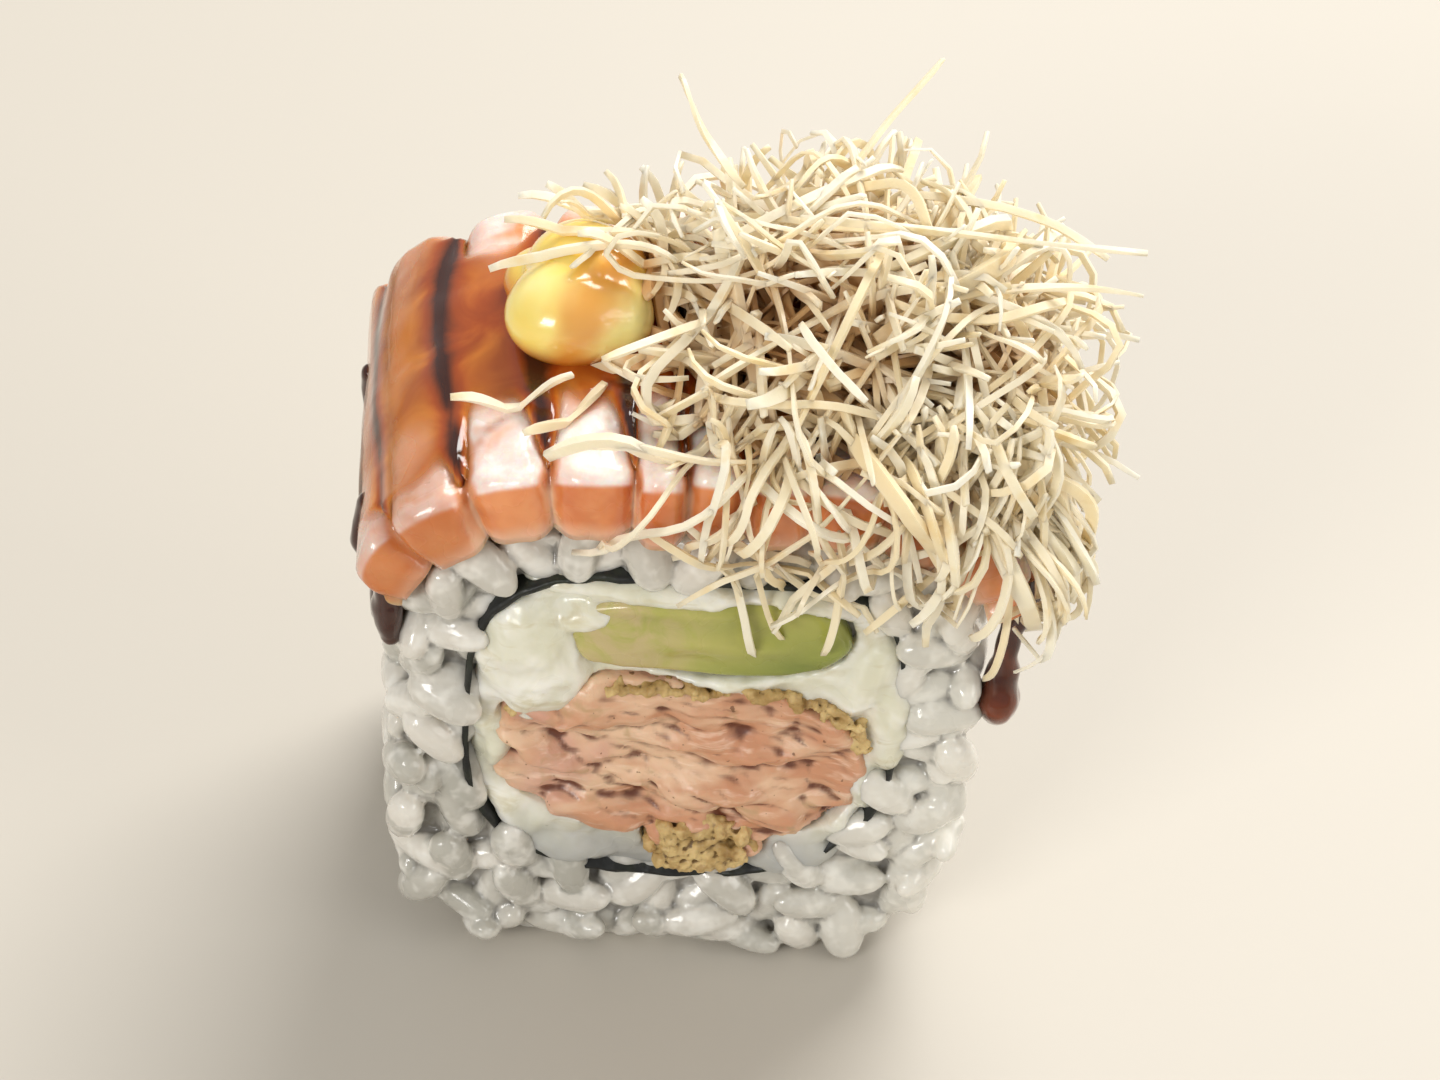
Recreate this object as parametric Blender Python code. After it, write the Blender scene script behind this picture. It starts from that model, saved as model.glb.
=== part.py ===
"""One piece of salmon uramaki, an inside-out sushi roll.

A ring of rice goes round a sheet of nori, and the nori goes round cream cheese, avocado and a
stick of fried salmon. A slice of seared salmon lies over the top. It carries a dab of mayonnaise
and a nest of crispy shreds. The two cut faces look along -Y and +Y, and the roll stands on the
flat underside of its rice, whose middle is the origin.
"""

import math
import random

import bmesh
import bpy
from mathutils import Matrix, Vector, noise

# Driving dimensions, in metres
ROLL_WIDTH = 0.0470
RICE_HEIGHT = 0.0492
ROLL_LENGTH = 0.0300
GRAIN_LENGTH = 0.0070
GRAIN_WIDTH = 0.0038
NORI_WIDTH = 0.0346
NORI_HEIGHT = 0.0348
NORI_MIDDLE = (-0.0003, 0.0271)
NORI_THICKNESS = 0.0005
AVOCADO_WIDTH = 0.0226
AVOCADO_HEIGHT = 0.0084
AVOCADO_MIDDLE = (0.0010, 0.0384)
FRIED_WIDTH = 0.0298
FRIED_HEIGHT = 0.0172
FRIED_MIDDLE = (-0.0004, 0.0243)
CRUST_WIDTH = 0.0096
CRUST_HEIGHT = 0.0062
CRUST_MIDDLE = (0.0024, 0.0150)
SLICE_THICKNESS = 0.0064
SLICE_OVERHANG = 0.0007
SLICE_GROOVE = 0.0011
FLAKES_ACROSS = 9
MAYONNAISE_SIZE = (0.0112, 0.0164, 0.0130)
MAYONNAISE_MIDDLE = (-0.0106, 0.0002, 0.0574)
NEST_SIZE = (0.0300, 0.0290, 0.0220)
NEST_MIDDLE = (0.0094, 0.0006, 0.0560)
SIDE_HEAP_SIZE = (0.0200, 0.0270, 0.0210)
SIDE_HEAP_MIDDLE = (0.0190, -0.0010, 0.0540)
SHRED_THICKNESS = 0.0010
CROWN_SHREDS = 16
CROWN_LENGTH = (0.018, 0.030)
FRINGE_SHREDS = 14
FRINGE_LENGTH = (0.016, 0.029)
FIT_GAP = 0.0003

# Forms that follow from them
ROLL_POWER = 4.0
RICE_SINK = 0.0015
BASE_SINK = 0.0006
CORE_INSET = 0.0004
GRAIN_FLATNESS = 0.86
GRAIN_PROUD = 0.0017
GRAIN_ROW = 0.0088
GRAIN_COLUMN = 0.0076
GRAIN_SIDES = 5
GRAIN_SHIFT = 0.0008
GRAIN_ROOM = 0.0016
FLAT_BASE = 0.34 * ROLL_WIDTH
DRIP_FLATNESS = 0.8
DRIP_STRETCH = 1.25
DRIP_SWELL = 0.75
AVOCADO_RELIEF = 0.0010
FLAKE_RELIEF = 0.0026
CRUMB_RELIEF = 0.0015
CREAM_RELIEF = 0.0016
SLICE_ENDS = (math.radians(38), math.radians(144))
SLICE_ROOM_ENDS = (math.radians(31.5), math.radians(149))
SLICE_ROOM_HEIGHT = 0.012
SLICE_TAPER = 0.45
SLICE_RIM = 0.0007
LUMP_SIZE = 0.006
SAUCE_RISE = 0.0008
POOL_SINK = 0.0020
DAB_LUMPS = (0.08, 0.020)
NEST_LUMPS = (0.18, 0.016)
SHRED_STEP = 0.0032
SHRED_BURIED = 0.0002
SHRED_LIFT = 0.0016
CROWN_DROOP = 0.06
FRINGE_DROOP = 0.4
SHARPEST_TURN = 1.1
WIDE = 0.004
MERGE = 2e-7
SEED = 10


def start_empty():
    """Removes what the startup scene holds."""
    for thing in list(bpy.data.objects):
        bpy.data.objects.remove(thing, do_unlink=True)


def collection(name):
    made = bpy.data.collections.new(name)
    bpy.context.scene.collection.children.link(made)
    return made


def material(name, colour, roughness):
    made = bpy.data.materials.new(name)
    made.use_nodes = True
    shader = made.node_tree.nodes["Principled BSDF"]
    shader.inputs["Base Color"].default_value = (*colour, 1.0)
    shader.inputs["Roughness"].default_value = roughness
    shader.inputs["Metallic"].default_value = 0.0
    return made


def place(name, shape, home, finish=None):
    """Turns a bmesh into a named object in a collection."""
    mesh = bpy.data.meshes.new(name)
    shape.to_mesh(mesh)
    shape.free()
    made = bpy.data.objects.new(name, mesh)
    home.objects.link(made)
    if finish is not None:
        mesh.materials.append(finish)
    return made


def hide(helper):
    """A cutter or another helper is drawn as wire and isn't a piece."""
    helper.hide_render = True
    helper.display_type = "WIRE"
    return helper


class Section:
    """A rounded outline in the XZ plane: an oval whose power squares its shoulders."""

    def __init__(self, width, height, middle, power, low_power=None, tilt=0.0):
        self.half = Vector((width / 2, height / 2))
        self.middle = Vector(middle)
        self.powers = (power, low_power or power)
        self.tilt = Matrix.Rotation(tilt, 2)

    def grown(self, margin):
        """The same outline, wider all round by a margin."""
        other = Section(0, 0, self.middle, *self.powers)
        other.half = self.half + Vector((margin, margin))
        other.tilt = self.tilt
        return other

    def reach(self, angle):
        """From the middle to the outline, in the direction of an angle."""
        across, up = math.cos(angle), math.sin(angle)
        power = self.powers[0] if up > 0 else self.powers[1]
        total = abs(across / self.half.x) ** power + abs(up / self.half.y) ** power
        return total ** (-1 / power)

    def point(self, angle, share=1.0):
        arm = Vector((math.cos(angle), math.sin(angle))) * self.reach(angle) * share
        return self.middle + self.tilt @ arm

    def top(self, x):
        """How high the outline is above a place across it."""
        share = min(1.0, abs(x - self.middle.x) / self.half.x)
        return self.middle.y + self.half.y * (1 - share ** self.powers[0]) ** (1 / self.powers[0])

    def normal(self, angle):
        """The outward direction at an angle, from its two neighbours."""
        step = 0.01
        along = self.point(angle + step) - self.point(angle - step)
        return Vector((along.y, -along.x)).normalized()

    def depth(self, x, z):
        """Roughly how far a point lies outside the outline; inside is negative."""
        arm = self.tilt.inverted() @ (Vector((x, z)) - self.middle)
        return arm.length - self.reach(math.atan2(arm.y, arm.x))

    def even_angles(self, start, end, spacing):
        """Angles between start and end whose points lie an even distance apart."""
        steps = 240
        angles = [start + (end - start) * i / steps for i in range(steps + 1)]
        run = [0.0]
        for before, after in zip(angles, angles[1:]):
            run.append(run[-1] + (self.point(after) - self.point(before)).length)
        count = max(1, round(run[-1] / spacing))
        found = []
        for i in range(count + 1):
            wanted = run[-1] * i / count
            j = min(range(steps + 1), key=lambda k: abs(run[k] - wanted))
            found.append(angles[j])
        return found


def on_slice(angle):
    """How far along the salmon slice an angle lies, from 0 at one end to 1 at the other."""
    return (angle % (2 * math.pi) - SLICE_ENDS[0]) / (SLICE_ENDS[1] - SLICE_ENDS[0])


def slice_taper(share):
    """The slice thins towards both of its ends."""
    return 1.0 - SLICE_TAPER * abs(2 * share - 1) ** 6


class Dressed(Section):
    """The roll under its toppings: the outline of the slice, its sauce and the grains beside them."""

    def reach(self, angle):
        flat = super().reach(angle)
        share = on_slice(angle)
        beyond = max(0.0, -share, share - 1)
        cover = max(0.0, min(1.0, 1.8 - beyond / 0.04))
        slice_top = FIT_GAP + SLICE_THICKNESS * slice_taper(min(1.0, max(0.0, share))) + SAUCE_RISE + FIT_GAP
        lean = Vector((math.cos(angle), math.sin(angle))).dot(ROLL.normal(angle))
        return flat + (cover * slice_top + (1 - cover) * GRAIN_PROUD) / lean


ROLL = Section(ROLL_WIDTH, RICE_HEIGHT, (0, RICE_HEIGHT / 2), ROLL_POWER)
RICE_CORE = Section(
    ROLL_WIDTH - 2 * RICE_SINK,
    RICE_HEIGHT - RICE_SINK + BASE_SINK,
    (0, (RICE_HEIGHT - RICE_SINK - BASE_SINK) / 2),
    ROLL_POWER,
)
NORI = Section(NORI_WIDTH, NORI_HEIGHT, NORI_MIDDLE, 4.2, 2.7)
FILLING = NORI.grown(-NORI_THICKNESS - FIT_GAP)
AVOCADO = Section(AVOCADO_WIDTH, AVOCADO_HEIGHT, AVOCADO_MIDDLE, 2.5, tilt=math.radians(-2))
FRIED = Section(FRIED_WIDTH, FRIED_HEIGHT, FRIED_MIDDLE, 2.7, tilt=math.radians(-8))
CRUST = Section(CRUST_WIDTH, CRUST_HEIGHT, CRUST_MIDDLE, 2.6, tilt=math.radians(3))
DRESSED = Dressed(ROLL_WIDTH, RICE_HEIGHT, (0, RICE_HEIGHT / 2), ROLL_POWER)


def block(section, front, back, segments, cap_rings=4, rim=0.0006, relief=0.0, rise_size=(1, 1)):
    """A closed block with an outline: a sphere whose latitudes become the two caps and the sides.

    Relief is how far the caps rise and sink, and rise_size is how long and how high those rises are.
    """
    shape = bmesh.new()
    side_bands = 1
    bands = 2 * cap_rings + side_bands
    bmesh.ops.create_uvsphere(shape, u_segments=segments, v_segments=bands, radius=1.0)
    for vert in shape.verts:
        line = round(math.acos(max(-1.0, min(1.0, vert.co.z))) / math.pi * bands)
        angle = math.atan2(vert.co.y, vert.co.x)
        from_end = min(line, bands - line)
        share = min(1.0, (from_end / cap_rings) ** 0.8)
        if from_end < cap_rings:
            y = front if line < bands / 2 else back
            if from_end == cap_rings - 1:
                share = 1.0 - rim / section.reach(angle)
        else:
            run = (line - cap_rings) / side_bands
            y = front + rim + (back - front - 2 * rim) * run
        spot = section.point(angle, share)
        rise = noise.noise(Vector((spot.x / rise_size[0], y / 0.01, spot.y / rise_size[1]))) * relief
        y += rise * (1.0 if from_end < cap_rings else 0.3)
        vert.co = (spot.x, y, spot.y)
    return shape


def grain(length=GRAIN_LENGTH, width=GRAIN_WIDTH):
    """One swollen rice grain, lying along Z."""
    shape = bmesh.new()
    bmesh.ops.create_uvsphere(shape, u_segments=GRAIN_SIDES, v_segments=4, radius=0.5)
    bmesh.ops.scale(shape, vec=(width, width * GRAIN_FLATNESS, length), verts=shape.verts)
    return shape


def lay_grain(spot, outward, draw, home, number):
    """Lays a grain on a surface, at a chance slant within it and a small tip out of it."""
    turn = outward.to_track_quat("Y", "Z").to_matrix().to_4x4()
    slant = Matrix.Rotation(draw.uniform(0, math.pi), 4, "Y")
    tip = Matrix.Rotation(draw.uniform(-0.35, 0.35), 4, "X")
    size = draw.uniform(0.88, 1.12)
    shape = grain(GRAIN_LENGTH * size, GRAIN_WIDTH * draw.uniform(0.92, 1.08))
    bmesh.ops.transform(shape, matrix=Matrix.Translation(spot) @ turn @ slant @ tip, verts=shape.verts)
    return place(f"grain_{number:03d}", shape, home)


def side_spots(draw):
    """Where grains lie round the roll, from one end of the salmon slice under the roll to the other."""
    start, end = SLICE_ENDS[1] - 0.05, SLICE_ENDS[0] + 2 * math.pi + 0.05
    rows = round(ROLL_LENGTH / GRAIN_COLUMN)
    for i, angle in enumerate(RICE_CORE.even_angles(start, end, GRAIN_ROW)):
        for j in range(rows):
            y = ((j + 0.5 + 0.5 * (i % 2)) / (rows + 0.5) - 0.5) * (ROLL_LENGTH - 0.002)
            y += draw.uniform(-GRAIN_SHIFT, GRAIN_SHIFT)
            turned = angle + draw.uniform(-0.03, 0.03)
            spot = RICE_CORE.point(turned)
            if spot.y < GRAIN_ROOM and abs(spot.x) < FLAT_BASE:
                continue
            normal = RICE_CORE.normal(turned)
            yield Vector((spot.x, y, spot.y)), Vector((normal.x, 0, normal.y))


def face_spots(draw, facing):
    """Where grains lie on one cut face, in two rings between the nori and the outside."""
    y = facing * ROLL_LENGTH / 2
    for share in (0.2, 0.8):
        for angle in RICE_CORE.even_angles(0.0, 2 * math.pi, GRAIN_ROW)[:-1]:
            turned = angle + draw.uniform(-0.05, 0.05) + share * 0.15
            inner, outer = NORI.point(turned), RICE_CORE.grown(-GRAIN_SHIFT).point(turned)
            spot = inner.lerp(outer, share + draw.uniform(-0.08, 0.08))
            thin_wall = (outer - inner).length < GRAIN_LENGTH * 0.8
            if NORI.depth(spot.x, spot.y) < GRAIN_SHIFT or (thin_wall and share < 0.5):
                continue
            yield Vector((spot.x, y, spot.y)), Vector((0, facing, 0))


def shape_drip(top, bead, width):
    """A run of thick sauce down the rice, as a long drop with a bead at its foot."""
    shape = bmesh.new()
    top, bead = Vector(top), Vector(bead)
    run = bead - top
    turn = run.to_track_quat("Z", "Y").to_matrix().to_4x4()
    made = bmesh.ops.create_uvsphere(shape, u_segments=8, v_segments=8, radius=0.5)["verts"]
    size = (width, width * DRIP_FLATNESS, run.length * DRIP_STRETCH)
    bmesh.ops.scale(shape, vec=size, verts=made)
    for vert in made:
        swell = 1.0 + DRIP_SWELL * max(0.0, vert.co.z / run.length) ** 2
        vert.co.x *= swell
        vert.co.y *= swell
    bmesh.ops.transform(shape, matrix=Matrix.Translation((top + bead) / 2) @ turn, verts=made)
    return shape


DRIPS = {
    "right_drip": ((0.0218, -0.0105, 0.0445), (0.0225, -0.0118, 0.0330), 0.0036),
    "left_drip": ((-0.0222, -0.0085, 0.0450), (-0.0228, -0.0090, 0.0350), 0.0040),
    "back_drip": ((-0.0221, 0.0070, 0.0400), (-0.0229, 0.0066, 0.0240), 0.0032),
}


def apply_cuts(base, name, home, finish, cuts, solver="EXACT"):
    """Applies Boolean modifiers in turn, and keeps the largest body of what they leave, as triangles."""
    for operation, other in cuts:
        step = base.modifiers.new(operation.title(), "BOOLEAN")
        step.operation = operation
        step.solver = solver
        if isinstance(other, bpy.types.Collection):
            step.operand_type = "COLLECTION"
            step.collection = other
        else:
            step.object = other
    bpy.context.view_layer.update()
    evaluated = base.evaluated_get(bpy.context.evaluated_depsgraph_get())
    mesh = bpy.data.meshes.new_from_object(evaluated)
    bpy.data.objects.remove(base, do_unlink=True)
    shape = bmesh.new()
    shape.from_mesh(mesh)
    bpy.data.meshes.remove(mesh)
    bmesh.ops.remove_doubles(shape, verts=shape.verts, dist=MERGE)
    keep_largest(shape)
    bmesh.ops.triangulate(shape, faces=shape.faces[:], quad_method="BEAUTY", ngon_method="BEAUTY")
    return place(name, shape, home, finish)


def keep_largest(shape):
    """Drops loose scraps and the walls of sealed hollows, so that one body is left."""
    left, bodies = set(shape.verts), []
    while left:
        found, todo = set(), [left.pop()]
        while todo:
            vert = todo.pop()
            found.add(vert)
            for edge in vert.link_edges:
                other = edge.other_vert(vert)
                if other in left:
                    left.discard(other)
                    todo.append(other)
        bodies.append(found)
    bodies.sort(key=len)
    loose = [vert for body in bodies[:-1] for vert in body]
    bmesh.ops.delete(shape, geom=loose, context="VERTS")


def empty_out(helpers):
    """Removes a collection of shapes that a Boolean has joined."""
    for helper in list(helpers.objects):
        bpy.data.objects.remove(helper, do_unlink=True)
    bpy.data.collections.remove(helpers)


def flake_line(share):
    """Which flake a place along the slice lies on; whole numbers are the seams between flakes."""
    return FLAKES_ACROSS * share + 0.3 * math.sin(11 * share)


def slab(name, lift, thickness, home, ends=SLICE_ENDS, overhang=SLICE_OVERHANG, groove_depth=0.0):
    """A slab that lies over the top of the roll: a grid bent over the rice and extruded upwards."""
    across, along = 4 * FLAKES_ACROSS, 4
    angles = ROLL.even_angles(ends[1], ends[0], ROLL_WIDTH / 400)
    shape = bmesh.new()
    bmesh.ops.create_grid(shape, x_segments=across, y_segments=along, size=1.0)
    under = list(shape.verts)
    top = [
        vert
        for vert in bmesh.ops.extrude_face_region(shape, geom=shape.faces[:])["geom"]
        if isinstance(vert, bmesh.types.BMVert)
    ]
    for vert in under + top:
        share, depth = (vert.co.x + 1) / 2, vert.co.y
        angle = angles[round(share * (len(angles) - 1))]
        flat, normal = ROLL.point(angle), ROLL.normal(angle)
        high = lift
        y = depth * (ROLL_LENGTH / 2 + overhang)
        if vert in top:
            groove = groove_depth * (1 - abs(math.sin(math.pi * flake_line(share)))) ** 2
            lump = noise.noise(Vector((flat.x, y, flat.y)) / LUMP_SIZE) * groove_depth * 0.4
            high += (thickness - groove + lump) * slice_taper(share)
            if abs(depth) > 0.99 and groove_depth:
                y -= math.copysign(SLICE_RIM + groove * 0.6, depth)
        spot = flat + normal * high
        vert.co = (spot.x, y, spot.y)
    bmesh.ops.recalc_face_normals(shape, faces=shape.faces)
    return place(name, shape, home)


def sauce_pool(home):
    """The thick sauce that stands on the slice, as low mounds sunk into it, one round the mayonnaise."""
    dab_x, dab_y, _ = MAYONNAISE_MIDDLE
    foot = FIT_GAP + SLICE_THICKNESS + SAUCE_RISE - POOL_SINK
    spots = (
        (dab_x, dab_y - 0.0008, 0.0165, 0.0225),
        (0.0020, -0.0050, 0.0120, 0.0080),
        (0.0110, -0.0015, 0.0140, 0.0130),
    )
    for number, (x, y, width, length) in enumerate(spots):
        shape = bmesh.new()
        bmesh.ops.create_uvsphere(shape, u_segments=12, v_segments=6, radius=0.5)
        bmesh.ops.scale(shape, vec=(width, length, 2 * POOL_SINK), verts=shape.verts)
        bmesh.ops.translate(shape, vec=(x, y, foot), verts=shape.verts)
        for vert in shape.verts:
            vert.co.z += ROLL.top(vert.co.x)
        place(f"pool_{number}", shape, home)


def mound(size, middle, segments, bands, lumps, margin=0.0):
    """A rounded heap: a sphere drawn to a size, whose lumps have a height and a width."""
    shape = bmesh.new()
    roughness, scale = lumps
    bmesh.ops.create_uvsphere(shape, u_segments=segments, v_segments=bands, radius=0.5)
    for vert in shape.verts:
        lump = 1.0 + roughness * noise.noise(vert.co * 2.0 * size[0] / scale + Vector(middle))
        vert.co = Vector(side * (part + 2 * margin) for side, part in zip(vert.co * lump, size))
        vert.co += Vector(middle)
    return shape


def oval_depth(spot, size, middle):
    """Roughly how far a point lies outside a mound; inside is negative."""
    arm = spot - Vector(middle)
    scaled = Vector(2 * side / part for side, part in zip(arm, size))
    return (scaled.length - 1.0) * min(size) / 2


def nest_depth(spot):
    """Roughly how far a point lies outside both heaps of the nest."""
    side_heap = oval_depth(spot, SIDE_HEAP_SIZE, SIDE_HEAP_MIDDLE)
    return min(oval_depth(spot, NEST_SIZE, NEST_MIDDLE), side_heap)


def roll_depth(spot):
    """Roughly how far a point lies outside the dressed roll."""
    side = DRESSED.depth(spot.x, spot.z)
    end = abs(spot.y) - ROLL_LENGTH / 2 - GRAIN_PROUD
    if side > 0 and end > 0:
        return math.hypot(side, end)
    return max(side, end)


def hold_off(spot, clearance, bury):
    """Moves a point out of the roll, the mayonnaise and the heart of the nest."""
    surfaces = (
        (roll_depth, clearance),
        (lambda p: oval_depth(p, MAYONNAISE_SIZE, MAYONNAISE_MIDDLE), clearance),
        (nest_depth, bury),
    )
    for _ in range(3):
        for measure, wanted in surfaces:
            here = measure(spot)
            if here >= wanted:
                continue
            step = 0.0002
            slope = Vector(
                measure(spot + Vector(step if k == axis else 0 for k in range(3))) - here
                for axis in range(3)
            )
            if slope.length > 0:
                spot = spot + slope.normalized() * (wanted - here)
    return spot


def walk(start, heading, length, bend, droop, bury):
    """The points of half a shred: it bends at a steady rate, sinks and follows what it lies on."""
    spot, direction, points = start.copy(), heading.copy(), []
    for i in range(max(2, round(length / SHRED_STEP))):
        outward = (spot - Vector(NEST_MIDDLE)).normalized()
        direction = Matrix.Rotation(bend * SHRED_STEP, 3, outward) @ direction
        direction.z -= droop * (1 + 0.3 * i)
        direction.normalize()
        ahead = hold_off(spot + direction * SHRED_STEP, SHRED_THICKNESS * 0.7, min(bury, 0.0005 * i))
        stride = ahead - spot
        if stride.length < SHRED_STEP / 2 or stride.angle(direction) > SHARPEST_TURN:
            break
        direction = stride.normalized()
        spot = ahead
        points.append(spot)
    return points


def crown_path(draw):
    """A shred that lies across the nest and wanders off it both ways."""
    around, rise = draw.uniform(0, 2 * math.pi), draw.uniform(0.1, 1.0) ** 0.7
    level = math.sqrt(max(0.0, 1 - rise * rise))
    ray = Vector((math.cos(around) * level, math.sin(around) * level, rise))
    start = Vector(NEST_MIDDLE) + Vector(side * part / 2 for side, part in zip(ray, NEST_SIZE))
    start = hold_off(start, SHRED_THICKNESS, -SHRED_BURIED)
    heading = ray.cross(Vector(draw.uniform(-1, 1) for _ in range(3))).normalized()
    half = draw.uniform(*CROWN_LENGTH) / 2
    bend = draw.uniform(-50, 50)
    ahead = walk(start, heading, half, bend, CROWN_DROOP, SHRED_LIFT)
    behind = walk(start, -heading, half, bend, CROWN_DROOP, SHRED_LIFT)
    return list(reversed(behind)) + [start] + ahead


def fringe_path(draw, share):
    """A shred that hangs over an edge of the nest: along the front first, then down the right side."""
    if share < 0.55:
        edge = Vector((0.002 + 0.036 * share, -0.010, 0.0600))
        heading = Vector((draw.uniform(-0.9, 1.0), -1.0, 0.0)).normalized()
    else:
        edge = Vector((0.019, -0.012 + 0.045 * (share - 0.55), 0.0600))
        heading = Vector((1.0, draw.uniform(-0.9, 0.6), 0.0)).normalized()
    start = hold_off(edge, SHRED_THICKNESS, -2 * SHRED_BURIED)
    length, bend = draw.uniform(*FRINGE_LENGTH), draw.uniform(-70, 70)
    return [start] + walk(start, heading, length, bend, FRINGE_DROOP, 2 * SHRED_BURIED)


def shred(name, points, home):
    """One crispy shred: a thin square strip along its points, made a closed mesh."""
    line = bpy.data.curves.new(name, "CURVE")
    line.dimensions = "3D"
    line.bevel_depth = SHRED_THICKNESS / 2
    line.bevel_resolution = 0
    line.use_fill_caps = True
    run = line.splines.new("POLY")
    run.points.add(len(points) - 1)
    for spline_point, spot in zip(run.points, points):
        spline_point.co = (*spot, 1.0)
    drawn = bpy.data.objects.new(name + "_line", line)
    home.objects.link(drawn)
    bpy.context.view_layer.update()
    mesh = bpy.data.meshes.new_from_object(drawn.evaluated_get(bpy.context.evaluated_depsgraph_get()))
    made = bpy.data.objects.new(name, mesh)
    made.matrix_world = drawn.matrix_world
    bpy.data.objects.remove(drawn, do_unlink=True)
    shape = bmesh.new()
    shape.from_mesh(mesh)
    bmesh.ops.remove_doubles(shape, verts=shape.verts, dist=1e-5)
    shape.to_mesh(mesh)
    shape.free()
    home.objects.link(made)
    return made


def make_rice(roll, cutters, finish):
    """The rice ring: a core with grains and runs of sauce fused on, cut for the nori and the slice."""
    draw = random.Random(SEED)
    half = ROLL_LENGTH / 2
    grains = collection("rice_grains")
    number = 0
    spots = list(side_spots(draw)) + list(face_spots(draw, -1)) + list(face_spots(draw, 1))
    for spot, outward in spots:
        lay_grain(spot, outward, draw, grains, number)
        number += 1
    for name, (top, bead, width) in DRIPS.items():
        place(name, shape_drip(top, bead, width), grains)
    core = place("rice_core", block(RICE_CORE, -half + CORE_INSET, half - CORE_INSET, 40, 3), roll)
    hole = hide(place("nori_hole", block(NORI.grown(FIT_GAP), -half - WIDE, half + WIDE, 44, 2), cutters))
    over = hide(slab("slice_room", 0.0, SLICE_ROOM_HEIGHT, cutters, SLICE_ROOM_ENDS, WIDE))
    under = bmesh.new()
    bmesh.ops.create_cube(under, size=2 * ROLL_WIDTH)
    bmesh.ops.translate(under, vec=(0, 0, -ROLL_WIDTH), verts=under.verts)
    floor = hide(place("floor_cut", under, cutters))
    cuts = [
        ("UNION", grains),
        ("DIFFERENCE", hole),
        ("DIFFERENCE", over),
        ("DIFFERENCE", floor),
    ]
    rice = apply_cuts(core, "rice", roll, finish, cuts)
    empty_out(grains)
    return rice


def make_nori(roll, cutters, finish):
    """The sheet of nori as a closed loop between the rice and the filling."""
    half = ROLL_LENGTH / 2
    sheet = place("nori_blank", block(NORI, -half, half, 44, 2, rim=0.0002), roll)
    inside = hide(
        place("nori_inside", block(NORI.grown(-NORI_THICKNESS), -half - WIDE, half + WIDE, 44, 2), cutters)
    )
    return apply_cuts(sheet, "nori", roll, finish, [("DIFFERENCE", inside)])


def make_filling(roll, cutters, finishes):
    """Cream cheese round an avocado strip and a stick of fried salmon with its lump of crust."""
    half = ROLL_LENGTH / 2
    size = (0.006, 0.003)
    front, back = -half - 0.0003, half + 0.0002
    strip = block(AVOCADO, front, back, 24, rim=0.0007, relief=AVOCADO_RELIEF, rise_size=size)
    place("avocado", strip, roll, finishes["avocado"])
    size = (0.006, 0.0024)
    front, back = -half - 0.0004, half + 0.0003
    flakes = block(FRIED, front, back, 30, 6, rim=0.0005, relief=FLAKE_RELIEF, rise_size=size)
    stick = place("stick", flakes, roll)
    size = (0.002, 0.002)
    front, back = -half - 0.0009, half + 0.0008
    crumb = block(CRUST, front, back, 14, 3, relief=CRUMB_RELIEF, rise_size=size)
    crust = collection("crust_lump")
    place("lump", crumb, crust)
    apply_cuts(stick, "fried_salmon", roll, finishes["fried"], [("UNION", crust)])
    empty_out(crust)
    rooms = [
        hide(place(f"room_{name}", block(section.grown(FIT_GAP), -half - WIDE, half + WIDE, 32, 2), cutters))
        for name, section in (("avocado", AVOCADO), ("stick", FRIED), ("crust", CRUST))
    ]
    size = (0.007, 0.004)
    filling = block(FILLING, -half, half, 40, 5, rim=0.0008, relief=CREAM_RELIEF, rise_size=size)
    cream = place("cream", filling, roll)
    cuts = [("DIFFERENCE", room) for room in rooms]
    apply_cuts(cream, "cream_cheese", roll, finishes["cream"], cuts, solver="MANIFOLD")


def make_slice(roll, finish):
    """The seared salmon slice with the thick sauce that stands on it."""
    pools = collection("sauce_pools")
    sauce_pool(pools)
    blank = slab("slice_blank", FIT_GAP, SLICE_THICKNESS, roll, groove_depth=SLICE_GROOVE)
    apply_cuts(blank, "salmon_slice", roll, finish, [("UNION", pools)])
    empty_out(pools)


def make_toppings(roll, cutters, finishes):
    """The mayonnaise and the nest of shreds, both cut to lie on the dressed roll."""
    end = ROLL_LENGTH / 2 + GRAIN_PROUD
    dressed = hide(place("dressed_roll", block(DRESSED, -end, end, 72, 2), cutters))
    dab = place("dab", mound(MAYONNAISE_SIZE, MAYONNAISE_MIDDLE, 16, 10, DAB_LUMPS), roll)
    apply_cuts(dab, "mayonnaise", roll, finishes["mayonnaise"], [("DIFFERENCE", dressed)])
    room = mound(MAYONNAISE_SIZE, MAYONNAISE_MIDDLE, 20, 12, DAB_LUMPS, 2 * FIT_GAP)
    dab_room = hide(place("mayonnaise_room", room, cutters))
    draw = random.Random(SEED + 1)
    paths = [crown_path(draw) for _ in range(CROWN_SHREDS)]
    paths += [fringe_path(draw, (i + 0.5) / FRINGE_SHREDS) for i in range(FRINGE_SHREDS)]
    shreds = collection("shreds")
    for number, points in enumerate(paths):
        shred(f"shred_{number:03d}", points, shreds)
    place("side_heap", mound(SIDE_HEAP_SIZE, SIDE_HEAP_MIDDLE, 16, 10, NEST_LUMPS), shreds)
    heart = place("heart", mound(NEST_SIZE, NEST_MIDDLE, 20, 12, NEST_LUMPS), roll)
    cuts = [
        ("UNION", shreds),
        ("DIFFERENCE", dressed),
        ("DIFFERENCE", dab_room),
    ]
    apply_cuts(heart, "crispy_shreds", roll, finishes["shreds"], cuts, solver="MANIFOLD")
    empty_out(shreds)


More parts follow.
